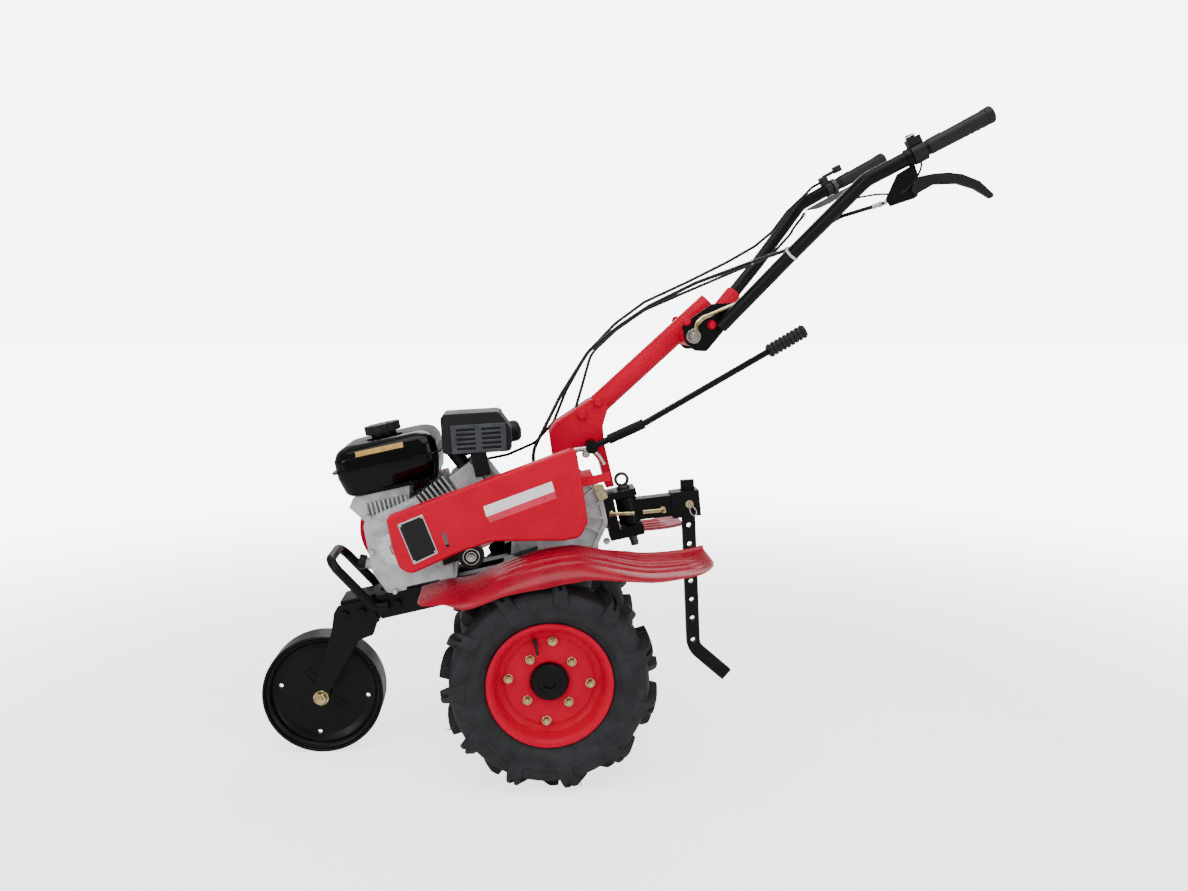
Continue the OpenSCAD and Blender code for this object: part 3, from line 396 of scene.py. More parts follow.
def addPiece(name, grids, look, body, wrap=True, ends=True, sharp=40, outward=True):
    # joins the grids of machine points into one mesh: quads between rings, end rings closed by a face
    verts, faces, start = [], [], 0
    for grid in grids:
        rings, around = grid.shape[:2]
        i, j = np.meshgrid(np.arange(rings - 1), np.arange(around if wrap else around - 1), indexing="ij")
        k = (j + 1) % around
        quads = np.stack([i * around + j, i * around + k, (i + 1) * around + k, (i + 1) * around + j], -1)
        faces += (quads.reshape(-1, 4) + start).tolist()
        if wrap and ends:
            lastRing = start + (rings - 1) * around
            faces += [list(range(start, start + around))[::-1], list(range(lastRing, lastRing + around))]
        verts.append(toWorld(grid).reshape(-1, 3))
        start += rings * around
    mesh = bpy.data.meshes.new(name)
    mesh.from_pydata(np.concatenate(verts).tolist(), [], faces)
    shape = bmesh.new()
    shape.from_mesh(mesh)
    bmesh.ops.remove_doubles(shape, verts=shape.verts, dist=1e-6)
    if outward:
        bmesh.ops.recalc_face_normals(shape, faces=shape.faces)
    shape.to_mesh(mesh)
    shape.free()
    piece = dressed(name, mesh, look, sharp)
    if body:
        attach(piece, body)
    return piece


def mirrored(grid):
    return grid * np.array([1, -1, 1])


def bothSides(grids):
    return list(grids) + [mirrored(g) for g in grids]


# Handlebar tubes: round skins a hair over the frame's tubes
bars = {"path": [(-460, 74.5, 557), (-600, 130, 660), (-735, 214, 762)], "gripStart": (-840, 248, 792.5),
        "gripAlong": (-115, 20, 33), "lead": 42, "stop": 0.4, "diameter": 25.0, "bend": 60, "skin": 0.35}
gripAlong = unitRows(np.array(bars["gripAlong"], float))
gripStart = np.array(bars["gripStart"], float)
gripUp = unitRows(np.array([0, 0, 1.0]) - gripAlong * gripAlong[2])
gripSide = np.cross(gripUp, gripAlong)
barEnd = [gripStart - bars["lead"] * gripAlong, gripStart - bars["stop"] * gripAlong]
barPath = filletPath(bars["path"] + barEnd, bars["bend"], steps=14)
barGrid = sweepGrid(barPath, bars["diameter"] / 2 + bars["skin"], 36)
addPiece("barSkins", bothSides([barGrid]), "blackEnamel", "handlebar")

# Grips: rubber that swells towards its domed end, a ring groove before it, finger bumps below, a flat panel on top.
# Places and fades along it are shares of its length; heights and depths are in mm
grip = {"length": 121, "radius": (13.8, 15.3), "swell": 1.4, "groove": (0.87, 0.009, 1.0), "mouth": (0.02, 0.7),
        "dome": (0.95, 0.0515), "bumps": 4, "bumpHigh": 1.1, "bumpDip": 0.6, "bumpStart": 0.5, "bumpSpan": 0.34,
        "bumpRun": (0.48, 0.84, 0.04, 0.04), "panel": 0.9, "panelRun": (0.22, 0.84, 0.02, 0.02)}
along = np.linspace(0, 1, 240)
gripTurn = fullTurn(48)
thin, full = grip["radius"]
grooveAt, grooveWide, grooveDeep = grip["groove"]
mouthLong, mouthDeep = grip["mouth"]
domeAt, domeLong = grip["dome"]
swell = thin + (full - thin) * along ** grip["swell"]
swell = swell - grooveDeep * np.exp(-((along - grooveAt) / grooveWide) ** 4)
swell = swell - mouthDeep * np.exp(-(along / mouthLong) ** 4)
swell = np.where(along > domeAt, swell * np.sqrt(np.clip(1 - ((along - domeAt) / domeLong) ** 2, 0.03, 1)), swell)
below = np.clip(-np.sin(gripTurn), 0, 1) ** 2
above = np.clip(np.sin(gripTurn), 0, 1) ** 6
bumpRun = fadedRun(along, *grip["bumpRun"])
wave = np.sin(math.pi * grip["bumps"] * (along - grip["bumpStart"]) / grip["bumpSpan"]) ** 2
bump = grip["bumpHigh"] * bumpRun * wave - grip["bumpDip"] * bumpRun
panelRun = fadedRun(along, *grip["panelRun"])
gripRadius = swell[:, None] + np.outer(bump, below) - grip["panel"] * np.outer(panelRun, above)
gripPath = gripStart + np.outer(along * grip["length"], gripAlong)
gripRound = np.cos(gripTurn)[:, None] * gripSide + np.sin(gripTurn)[:, None] * gripUp
gripGrid = gripPath[:, None] + gripRadius[..., None] * gripRound
grips = addPiece("gripRubbers", bothSides([gripGrid]), "gripRubber", "handlebar", sharp=60)
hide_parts("grips")

# Lift loop over the nose, bent from one tube; the near half is drawn as (forward, up) and mirrored
loop = {"left": 65.3, "diameter": 18, "bend": 28, "near": [(276, 168), (302, 168), (366, 278)],
        "slope": (-0.5, 0, 0.87)}
loopNear = [(u, loop["left"], w) for u, w in loop["near"]]
loopFar = [(u, -loop["left"], w) for u, w in loop["near"][::-1]]
loopPath = filletPath(loopNear + loopFar, loop["bend"], steps=12)
loopTube = addPiece("liftLoopTube", [sweepGrid(loopPath, loop["diameter"] / 2, 28, up=loop["slope"])], "blackEnamel",
                    "chassis")
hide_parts("lift_loop")

# Control cables: sheathed, fixed at both ends. Thickness, bend radius, route
cables = {
    "clutch_cable": (7, 60, [(-755.9, 233.3, 716.5), (-735, 228, 714), (-712, 202, 712), (-690, 168, 710),
        (-640, 128, 684), (-600, 104, 672), (-540, 74, 664), (-430, 70, 648), (-335, 62, 624), (-270, 60, 598),
        (-205, 60, 565), (-135, 60, 494), (-95, 60, 444), (-60, 54, 400), (-50, 50, 338.6)]),
    "throttle_cable": (6, 40, [(-796, -236, 801), (-770, -222, 794), (-735, -190, 775), (-690, -160, 752),
        (-640, -122, 716), (-590, -84, 694), (-520, -50, 674), (-430, -30, 652), (-335, 0, 632),
        (-270, 14, 604), (-205, 10, 560), (-150, -42, 492), (-112, -52, 434), (-66, -62, 400),
        (-6, -78, 386), (35.4, -84, 386)]),
    "reverse_cable": (6, 60, [(-738, -226, 736), (-705, -195, 715), (-690, -166, 705), (-640, -126, 676),
        (-600, -100, 664), (-520, -72, 650), (-430, -50, 634), (-335, -24, 616), (-270, -10, 590),
        (-212, 0, 556), (-184, 14, 505), (-160, 18, 461)]),
}
for node, (wide, bend, route) in cables.items():
    path = filletPath(route, bend, steps=8)
    sheath = addPiece(node + "_sheath", [sweepGrid(path, wide / 2, 16)], "cablePvc", None)
    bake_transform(sheath)
    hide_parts(node)
print("handlebar dressed")

# Mudguards: pressed sheet over each wheel that curves down to its outer edge as a quarter ellipse, beaded behind.
# line is (forward, up), lip the fall of the outer edge at its points; cornerPart keeps the corners off a sharp end
guard = {"inner": 110, "shoulder": 178, "outer": 264, "corner": 46, "cornerPart": 0.999, "gauge": 2,
         "beads": (130, 154, 178, 202, 226), "beadHigh": 3.4, "beadWide": 8, "beadRun": (-318, 70, 28, 90),
         "turnUp": {"from": -150, "over": 45, "wide": 7, "high": 7},
         "line": [(198, 199), (150, 203), (118, 199), (90, 200), (42, 210), (-30, 218), (-90, 214), (-126, 202),
                  (-197, 170), (-240, 158), (-300, 150), (-338, 150)],
         "lip": [1, 8, 22, 22, 25, 36, 34, 26, 15, 12, 6, 1]}
inner, bendFrom, widest, corner = (guard[k] for k in ("inner", "shoulder", "outer", "corner"))
head, tail = guard["line"][0][0], guard["line"][-1][0]
ridge = smoothPath(guard["line"], 200)
forward = ridge[:, :1]
lip = np.interp(-forward, [-p[0] for p in guard["line"]], guard["lip"])
tailIn = np.clip((tail + corner - forward) / corner, 0, 1)
headIn = np.clip((forward - head + corner) / corner, 0, 1)
outer = widest - corner * (2 - np.sqrt(1 - guard["cornerPart"] * tailIn ** 2)
                           - np.sqrt(1 - guard["cornerPart"] * headIn ** 2))
flat, bent = np.linspace(0, 1, 110)[None, :-1], np.linspace(0, math.pi / 2, 40)[None]
column = np.concatenate([inner + (bendFrom - inner) * flat, bendFrom + (widest - bendFrom) * np.sin(bent)], 1)
leftEdge = inner + (column - inner) * (outer - inner) / (widest - inner)
curve = np.clip((column - bendFrom) / (widest - bendFrom), 0, 1)
fall = lip * (1 - np.sqrt(1 - curve ** 2))
beaded = fadedRun(forward, *guard["beadRun"])
bead = sum(np.exp(-((column - b) / (guard["beadWide"] / 2)) ** 2) for b in guard["beads"])
bead = bead * guard["beadHigh"] * beaded
# the inner edge is turned up behind the wheel
turnUp = guard["turnUp"]
behind = np.clip((turnUp["from"] - forward) / turnUp["over"], 0, 1)
turnedUp = turnUp["high"] * behind * np.exp(-((column - inner) / turnUp["wide"]) ** 2)
sheet = np.stack([forward + 0 * leftEdge, leftEdge, ridge[:, 1:] + guard["gauge"] + bead + turnedUp - fall], -1)
for name, grid in (("mudguardLeft", sheet), ("mudguardRight", mirrored(sheet))):
    piece = addPiece(name, [grid], "mudguardEnamel", "chassis", wrap=False)
    thick = piece.modifiers.new("gauge", "SOLIDIFY")
    thick.thickness, thick.offset = guard["gauge"] / 1000, -1
    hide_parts("fenders")
print("mudguards pressed")


def turnedBack(rightMm, upMm):
    # offsets as seen from the left side (rearward, up) in the machine's own forward and up
    x, z = -np.asarray(rightMm, float), np.asarray(upMm, float)
    return x * math.cos(noseDown) - z * math.sin(noseDown), x * math.sin(noseDown) + z * math.cos(noseDown)


# Rims: rolled flanges, deep well and a stepped disc, as a closed (radius, left) section
rim = {"profile": [(34.3, 211.4), (62, 211.4), (80, 211), (85, 209), (90, 209.4), (95, 213), (98, 222), (102, 234),
                   (108, 240), (113, 241.6), (116, 240.4), (116, 238), (107, 236), (103, 230), (103, 180), (106, 173),
                   (116, 172), (116, 168.4), (106, 169), (100, 177), (97.6, 196), (92, 204), (80, 205), (34.3, 205)],
       "soften": 4}
rimLoop = filletPath(rim["profile"], rim["soften"], closed=True, steps=4)
rimGrid = turnedGrid(closedLoop(rimLoop), (0, 0), 144)
rims = addPiece("pressedRims", bothSides([rimGrid]), "redEnamel", "drive_wheels", ends=False, sharp=50)
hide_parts("rims")

# Tyres: carcass turned from its section, with raised rings and shoulder lines, and a row of bar lugs on each side.
# rings are (radius, height, width)
tyre = {"middle": 205, "lugs": 11, "lugStart": 0.06, "lugTop": 200, "lugWide": (17, 25), "chevron": 33,
        "notchRun": (0.35, 0.93, 0.12, 0.06), "notchDeep": 0.26, "lines": 33, "lineHigh": 1.5, "lineThin": 14,
        "shoulder": (153, 178, 2, 3), "rings": [(151, 1.7, 1.3), (126, 1.4, 1.6)], "soften": 6,
        "section": [(105, -29), (117, -31.5), (121, -36), (131, -45.5), (147, -49), (151, -49.4), (154, -48.6),
                    (165, -48.6), (175, -43), (181, -28), (183.5, 0)]}
tyreHalf = filletPath(tyre["section"], tyre["soften"], steps=3)
section = np.concatenate([tyreHalf, tyreHalf[::-1][1:] * np.array([1, -1])])
tyreTurn = fullTurn(tyre["lines"] * 12)
radius, side = section[:, :1] + 0 * tyreTurn, section[:, 1:] + 0 * tyreTurn
tyreLine = np.maximum(0, np.cos(tyre["lines"] * tyreTurn)) ** tyre["lineThin"]
shoulder = fadedRun(radius, *tyre["shoulder"])
ringBump = sum(high * np.exp(-((radius - at) / wide) ** 2) for at, high, wide in tyre["rings"])
side = side + np.sign(side) * (tyre["lineHigh"] * tyreLine * shoulder + ringBump)
carcass = np.stack([radius * np.cos(tyreTurn), tyre["middle"] + side, radius * np.sin(tyreTurn)], -1)

# A lug is a trapezium carried from the crown over the shoulder; its crown line runs back along the chevron
lugRun = np.array([-9, 0, 14, 28, 38, 45, 50, 52.5, 53, 52.5])           # across the tyre
lugHigh = np.array([200, 200, 199, 197, 194, 189, 181, 171, 161, 153])   # radius of its face
lugFoot = np.array([176, 178, 177, 173, 168, 163, 160, 157, 152, 149])   # radius of its buried side
lugFootSide = np.array([-9, 0, 14, 26, 33, 38, 42, 45, 46.5, 47.5])      # across the tyre, buried side
lugShare = np.clip((lugRun - lugRun[0]) / (lugRun.max() - lugRun[0]), 0, 1)
lugWide = tyre["lugWide"][0] + (tyre["lugWide"][1] - tyre["lugWide"][0]) * lugShare
lugAcross = np.array([-0.62, -0.5, -0.44, -0.16, -0.1, 0.1, 0.16, 0.44, 0.5, 0.62])
lugLift = np.array([0, 0.86, 1, 1, 1, 1, 1, 1, 0.86, 0])                 # 0 at the buried side, 1 at the face
lugMiddle = np.array([0, 0, 0, 0, 1, 1, 0, 0, 0, 0])                     # 1 where the notch is sunk
notch = lugMiddle[None] * fadedRun(lugShare, *tyre["notchRun"])[:, None]
lugDeep = lugLift[None] - tyre["notchDeep"] * notch
faceR = lugFoot[:, None] + (lugHigh - lugFoot)[:, None] * lugDeep
faceY = lugFootSide[:, None] + (lugRun - lugFootSide)[:, None] * lugDeep
# the slant eases towards the shoulder, and the buried side is a tenth wider
lean = lugRun[:, None] * math.tan(math.radians(tyre["chevron"])) * np.clip(1.15 - lugShare[:, None] * 0.55, 0, 1)
faceT = lugAcross[None] * lugWide[:, None] * np.where(lugLift[None] > 0, 1, 1.1) + lean
# no corner stands out beyond the tyre's own radius
faceR = np.minimum(faceR, np.sqrt(tyre["lugTop"] ** 2 - np.minimum(faceT - lean, 20) ** 2))


def lugGrids(start, flip):
    turns = start + 2 * math.pi * np.arange(tyre["lugs"]) / tyre["lugs"]
    swing = turns[:, None, None] + (faceT / faceR)[None]
    return np.stack([faceR * np.cos(swing), tyre["middle"] + flip * faceY + 0 * swing, faceR * np.sin(swing)], -1)


lugSet = list(lugGrids(tyre["lugStart"], 1)) + list(lugGrids(tyre["lugStart"] + math.pi / tyre["lugs"], -1))
casings = addPiece("tyreCasings", bothSides([closedLoop(carcass)]), "tyreRubber", "drive_wheels",
                   ends=False, sharp=50)
lugs = addPiece("tyreLugs", bothSides(lugSet), "tyreRubber", "drive_wheels", sharp=32)
for piece in (casings, lugs):
    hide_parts("tyres")

# Moulding whiskers left on some lugs, a golden angle apart, of uneven length and bend
whisker = {"count": 13, "length": 9, "thick": 1.1, "apart": 2.3998, "first": 0.4, "root": 184, "side": 44}
spot = np.arange(whisker["count"])
grow = np.linspace(0, 1, 5)
hairs = []
for a, s, k in zip(spot * whisker["apart"] + whisker["first"], np.where(spot % 2, 1, -1), spot):
    reach = whisker["root"] + 4 * (k % 3) + grow * whisker["length"] * (0.7 + 0.3 * (k % 2))
    swing = a + 0.03 * grow ** 2 * (k % 3 - 1)
    hairSide = tyre["middle"] + s * (whisker["side"] + 3 * grow)
    path = np.stack([reach * np.cos(swing), hairSide, reach * np.sin(swing)], -1)
    hairs.append(sweepGrid(path, whisker["thick"] * (1 - 0.75 * grow), 6))
addPiece("tyreWhiskers", bothSides(hairs), "tyreRubber", "drive_wheels")
print("wheels turned")


def hexFall(turn):
    # a flat's distance over the edge's distance at this turn: the cosine of the turn from the nearest flat's middle
    return np.cos((turn + math.pi / 6) % (math.pi / 3) - math.pi / 6)


# Hex bolts and nuts: a washer ring, a six-sided prism and a chamfered top, set square to the face they hold
leftward = (0, 1, 0)
bolt = {"sides": 24, "sunk": -0.5, "washer": 1.6, "washerEdge": 1.2, "studEnd": (3.2, 4), "aside": (0.31, 0.17, 0.94)}
boltTurn = fullTurn(bolt["sides"])
hexEdge = 1 / hexFall(boltTurn)


def boltGrids(places, facing, flats, high, washer=0, stud=0):
    # rings of (height, radius, how six-sided): washer, head sides, chamfer, crown, and a stud end where there is one
    half, base = flats / 2, bolt["washer"] if washer else 0
    rings = [(bolt["sunk"], 0.9 * half, 1)]
    if washer:
        rings += [(bolt["sunk"], washer / 2, 0), (bolt["washerEdge"], washer / 2, 0), (base, washer / 2 - 0.5, 0),
                  (base, 0.98 * half, 0)]
    top = base + high
    rings += [(base, half, 1), (base + high * 0.8, half, 1), (top, half * 0.92, 0.2)]
    if stud:
        straight, end = bolt["studEnd"]
        rings += [(top, stud / 2, 0), (top + straight, stud / 2, 0), (top + end, stud / 2 - 0.8, 0)]
    rings += [(rings[-1][0] + 0.01, 0.02, 0)]
    h, r, six = (np.array(c)[:, None] for c in zip(*rings))
    r = r * (1 + six * (hexEdge - 1))
    n = unitRows(np.asarray(facing, float))
    a = unitRows(np.cross(n, bolt["aside"]))
    b = np.cross(n, a)
    shape = r[..., None] * (np.cos(boltTurn)[:, None] * a + np.sin(boltTurn)[:, None] * b) + h[..., None] * n
    return [np.asarray(p, float) + shape for p in places]


# Wheel nuts on two circles of four
rimBolts = {"outer": 75, "inner": 54, "outerTurn": 85.5, "innerTurn": 41, "face": 211.3}
quarter = np.radians(90 * np.arange(4))
nutTurn = np.concatenate([np.radians(rimBolts["outerTurn"]) + quarter, np.radians(rimBolts["innerTurn"]) + quarter])
nutRing = np.repeat([rimBolts["outer"], rimBolts["inner"]], 4)
nutU, nutW = turnedBack(nutRing * np.cos(nutTurn), nutRing * np.sin(nutTurn))
nutSpots = np.stack([nutU, 0 * nutU + rimBolts["face"], nutW], -1)
wheelNuts = boltGrids(nutSpots, leftward, 13, 7, washer=18, stud=8)
addPiece("wheelNuts", bothSides(wheelNuts), "yellowZinc", "drive_wheels", sharp=30)

# Hub plate with a six-sided socket in a sunk ring
hub = {"radius": 33, "foot": 212, "face": 222.5, "sunk": 1.2, "flats": 23, "deep": 4, "sides": 396}
hubLow = hub["face"] - hub["sunk"]
hubRings = [(hub["radius"], hub["foot"]), (hub["radius"], hubLow), (hub["radius"] - 1.2, hub["face"]),
            (21, hub["face"]), (20, hubLow), (16, hubLow)]
hubTurn = fullTurn(hub["sides"])
hexRing = hub["flats"] / 2 / hexFall(hubTurn)
hexTop = np.stack([hexRing * np.cos(hubTurn), 0 * hubTurn + hubLow, hexRing * np.sin(hubTurn)], -1)
hexLow = hexTop - np.array([0, hub["deep"], 0])
hubGrid = np.concatenate([turnedGrid(hubRings, (0, 0), hub["sides"]), hexTop[None], hexLow[None]])
addPiece("hubPlates", bothSides([hubGrid]), "blackEnamel", "drive_wheels", sharp=30)

# Valve stems, pointing at the hub, thinner at the outer end
stem = {"back": (-28, -26, -24, -21.5), "up": (80, 74, 66, 52), "left": (213, 217, 219, 221), "radius": (3.6, 2.6),
        "step": 0.6, "rings": 24}
stemU, stemW = turnedBack(stem["back"], stem["up"])
stemPath = smoothPath(np.stack([stemU, stem["left"], stemW], -1), stem["rings"])
stemRadius = np.where(np.linspace(0, 1, stem["rings"]) < stem["step"], *stem["radius"])
addPiece("valveStems", bothSides([sweepGrid(stemPath, stemRadius, 14)]), "gripRubber", "drive_wheels")
print("wheel fittings placed")

# Front wheel: spun from sheet, rolled tread edge, two steps inside it and a shallow dish
front = {"at": (450, 12), "soften": 2.2, "holes": 86, "holeTurns": (20, 110, 200, 290), "holeRadius": 4.5,
         "holeRun": (-40, 40), "ovals": (-40, 44, 128, 214), "ovalReach": (24, 58), "ovalWide": 7, "ovalFace": 5.2,
         "ovalBead": 1.1,
         "outside": [(10, 15), (13, 15), (15, 8), (24, 5.5), (60, 5), (88, 6.5), (97, 11), (101, 13.5), (104, 20),
                     (107, 22.5), (111, 25), (112.5, 29), (114.5, 31), (117, 30.6), (118, 29)],
         "inside": [(118, 0), (118, -29), (117, -30.6), (114.5, -31), (113, -29), (112, -12), (106, -4), (97, -1.5),
                    (60, -1), (24, -1), (15, -4), (13, -15), (10, -15)]}
noseLoop = np.concatenate([filletPath(front["outside"], front["soften"], steps=3), front["inside"]])
noseGrid = turnedGrid(closedLoop(noseLoop), front["at"], 128)
noseWheel = addPiece("noseWheel", [noseGrid], "blackEnamel", "front_wheel", ends=False, sharp=50)
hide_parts("front_wheel")


def cutAway(piece, cutter, sharp=30):
    # the cutter's volume is taken from the piece for good, and the new edges are marked sharp
    cut = piece.modifiers.new("cut", "BOOLEAN")
    cut.object, cut.operation, cut.solver = cutter, "DIFFERENCE", "EXACT"
    solid = bpy.data.meshes.new_from_object(piece.evaluated_get(bpy.context.evaluated_depsgraph_get()))
    piece.modifiers.clear()
    piece.data = solid
    solid.set_sharp_from_angle(angle=math.radians(sharp))
    bpy.data.objects.remove(cutter)


holeTurn = np.radians(front["holeTurns"])
holeSpots = np.stack([front["at"][0] + front["holes"] * np.cos(holeTurn),
                      front["at"][1] + front["holes"] * np.sin(holeTurn)], -1)
drill = [(front["holeRadius"], left) for left in front["holeRun"]]
cutAway(noseWheel, addPiece("drills", [turnedGrid(drill, p, 24) for p in holeSpots], "blackEnamel", None))

# Pressed ovals round the front hub
ovalTurn = np.linspace(0, 2 * math.pi, 60)
near, far = front["ovalReach"]
blunt = np.sign(np.cos(ovalTurn)) * np.abs(np.cos(ovalTurn)) ** 0.7
alongOval = (near + far) / 2 + (far - near) / 2 * blunt
acrossOval = front["ovalWide"] * np.sin(ovalTurn)
ovals = []
for a in np.radians(front["ovals"]):
    du, dw = turnedBack(alongOval * np.cos(a) - acrossOval * np.sin(a),
                        alongOval * np.sin(a) + acrossOval * np.cos(a))
    ovalPath = np.stack([front["at"][0] + du, 0 * du + front["ovalFace"], front["at"][1] + dw], -1)
    ovals.append(sweepGrid(ovalPath, front["ovalBead"], 8))
addPiece("noseOvals", ovals, "blackEnamel", "front_wheel")
print("front wheel spun")


def roundedRing(halfLong, halfWide, radius, perCorner=12):
    # rounded rectangle: a quarter circle at each corner
    quarter = np.linspace(0, math.pi / 2, perCorner)
    turns = np.concatenate([quarter + k * math.pi / 2 for k in range(4)])
    sx = np.repeat([1, -1, -1, 1], perCorner)
    sy = np.repeat([1, 1, -1, -1], perCorner)
    return np.stack([sx * (halfLong - radius) + radius * np.cos(turns),
                     sy * (halfWide - radius) + radius * np.sin(turns)], -1)


# Fuel tank: two drawn halves on a seam flange, lofted between rounded rectangles that shrink by an inset.
# profile is (inset, up), and the corners tighten by a share of the inset
tank = {"middle": (216, -22), "half": (98, 95), "corner": 25, "tighten": 0.25, "least": 4,
        "profile": [(70, 385.4), (19, 385.4), (8, 393), (0.5, 425), (0, 438.2), (-7.6, 438.2), (-7.6, 441.8),
                    (0, 441.8), (0.3, 460), (8, 476), (24, 483.8), (60, 486), (86, 486)],
        "soften": [0, 8, 16, 8, 0, 0.6, 0.6, 0, 14, 18, 30, 10, 0]}
tankLine = filletPath(tank["profile"], tank["soften"], steps=8)
tankRings = []
for inset, high in tankLine:
    ring = roundedRing(tank["half"][0] - inset, tank["half"][1] - inset,
                       max(tank["least"], tank["corner"] - tank["tighten"] * inset))
    tankRings.append(np.column_stack([ring + tank["middle"], np.full(len(ring), high)]))
tankBody = addPiece("tankShell", [np.array(tankRings)], "tankEnamel", "chassis")
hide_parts("fuel_tank")

# Plain gold strip on the tank's shoulder, a hair off its surface
strip = {"forward": (177, 268), "up": (462.5, 472), "off": 0.35, "aboveSeam": 442}
stripFwd, stripHigh = np.linspace(*strip["forward"], 12), np.linspace(*strip["up"], 8)
upper = tankLine[tankLine[:, 1] > strip["aboveSeam"]]
stripLeft = tank["middle"][1] + tank["half"][1] - np.interp(stripHigh, upper[:, 1], upper[:, 0]) + strip["off"]
stripGrid = np.stack(np.broadcast_arrays(stripFwd[:, None], stripLeft, stripHigh), -1)
addPiece("tankStrip", [stripGrid], "goldFoil", "chassis", wrap=False, outward=False)
print("tank drawn")


def insetLoop(loop, distance):
    # each point of a closed loop moves in along the normal of its two neighbours
    ahead = unitRows(np.roll(loop, -1, 0) - np.roll(loop, 1, 0))
    area = np.sum(loop[:, 0] * np.roll(loop[:, 1], -1) - np.roll(loop[:, 0], -1) * loop[:, 1])
    return loop + math.copysign(distance, area) * np.stack([-ahead[:, 1], ahead[:, 0]], -1)


def insetRings(loop, rings):
    # a (forward, up) loop stood at each ring's (inset, left)
    return np.array([np.insert(insetLoop(loop, inset), 1, left, axis=1) for inset, left in rings])


def flatPatch(name, corners, left, thick, look, radius=2.0):
    # thin plate on a side face, its corners rounded
    loop = filletPath(corners, radius, closed=True, steps=5)
    rings = [(0, left), (0, left + 0.7 * thick), (0.3 * thick, left + thick)]
    return addPiece(name, [insetRings(loop, rings)], look, "chassis")


def domeGrids(places, radius, high):
    # button rivets: quarter-ellipse turned about the cross axis
    t = np.linspace(0, math.pi / 2 - 0.02, 7)
    return [turnedGrid(np.stack([radius * np.cos(t), left + high * np.sin(t)], -1), (u, w), 20)
            for u, left, w in places]


def crossBar(forward, up, across):
    # square bar that runs across the machine between two lefts
    (back, ahead), (low, high) = forward, up
    corners = ((back, low), (ahead, low), (ahead, high), (back, high))
    return np.array([[(u, left, w) for u, w in corners] for left in across])


# Belt cover: one pressed pan with a rolled edge and a slot, held by a post and a strap with an ear
cover = {"outline": [(228, 296), (226, 352), (-139, 403), (-136, 327), (-132, 262), (-112, 237), (-80, 238), (46, 266),
                     (104, 261), (207, 239), (224, 256)],
         "corners": [12, 10, 12, 30, 22, 20, 24, 60, 60, 24, 16], "face": 165, "back": 135, "edge": 5.5, "gauge": 2,
         "slotTop": (129.5, 300), "slotFoot": (128.5, 278), "slotRadius": 3.5, "slotRun": (150, 180),
         "post": [(170, 68, 295), (170, 110, 295), (170, 163.4, 295)], "postRadius": 6}
coverLoop = filletPath(cover["outline"], cover["corners"], closed=True, steps=10)
edge, face, gauge = cover["edge"], cover["face"], cover["gauge"]
panRings = [(edge, face - gauge), (gauge, face - edge), (gauge, cover["back"]), (0, cover["back"])]
panRings += [(edge * (1 - math.cos(a)), face - edge + edge * math.sin(a)) for a in np.linspace(0, math.pi / 2, 9)]
panRings += [(edge + 0.7, face)]
beltCover = addPiece("coverPan", [insetRings(coverLoop, panRings)], "redEnamel", "chassis", sharp=30)
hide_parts("belt_cover")
slotTurn = np.linspace(0, math.pi, 12)
slotArc = cover["slotRadius"] * np.stack([np.cos(slotTurn), np.sin(slotTurn)], -1)
slotLoop = np.concatenate([cover["slotTop"] + slotArc, cover["slotFoot"] - slotArc])
slotRings = [(0, left) for left in cover["slotRun"]]
cutAway(beltCover, addPiece("slotCutter", [insetRings(slotLoop, slotRings)], "redEnamel", None))
post = sweepGrid(cover["post"], cover["postRadius"], 20, up=(0, 0, 1))
strap = crossBar((-160, -134), (325, 342), (56.3, 137))
ear = crossBar((-190, -136), (325, 341), (136, 140))
addPiece("coverPost", [post, strap, ear], "redEnamel", "chassis")

# Blank rating plate and plain bands on the cover's face
plate = {"corners": [(208, 336), (160, 344.5), (148, 268), (196, 257)], "thick": 0.6, "field": 0.93, "fieldThick": 0.3,
         "rivetsAt": (0.84, 0.88), "rivet": (2.3, 1.4)}
flatPatch("ratingPlate", plate["corners"], face, plate["thick"], "plateFoil")
plateMiddle = np.mean(plate["corners"], axis=0)
fromMiddle = np.array(plate["corners"]) - plateMiddle
fieldCorners = plateMiddle + plate["field"] * fromMiddle
flatPatch("ratingPlateField", fieldCorners, face + 0.5, plate["fieldThick"], "blackPlastic", radius=1.2)
rivets = np.insert(plateMiddle + plate["rivetsAt"] * fromMiddle, 1, face + plate["thick"], axis=1)
addPiece("plateRivets", domeGrids(rivets, *plate["rivet"]), "whiteZinc", "chassis")
bands = {"whiteBand": ("whiteVinyl", [(49, 334), (-82.5, 352), (-84, 333), (48, 314)]),
         "roseBand": ("roseVinyl", [(48, 314), (-84, 333), (-85, 319.5), (44, 302)])}
for name, (look, corners) in bands.items():
    flatPatch(name, corners, face, 0.3, look, radius=1.0)
print("cover pressed")

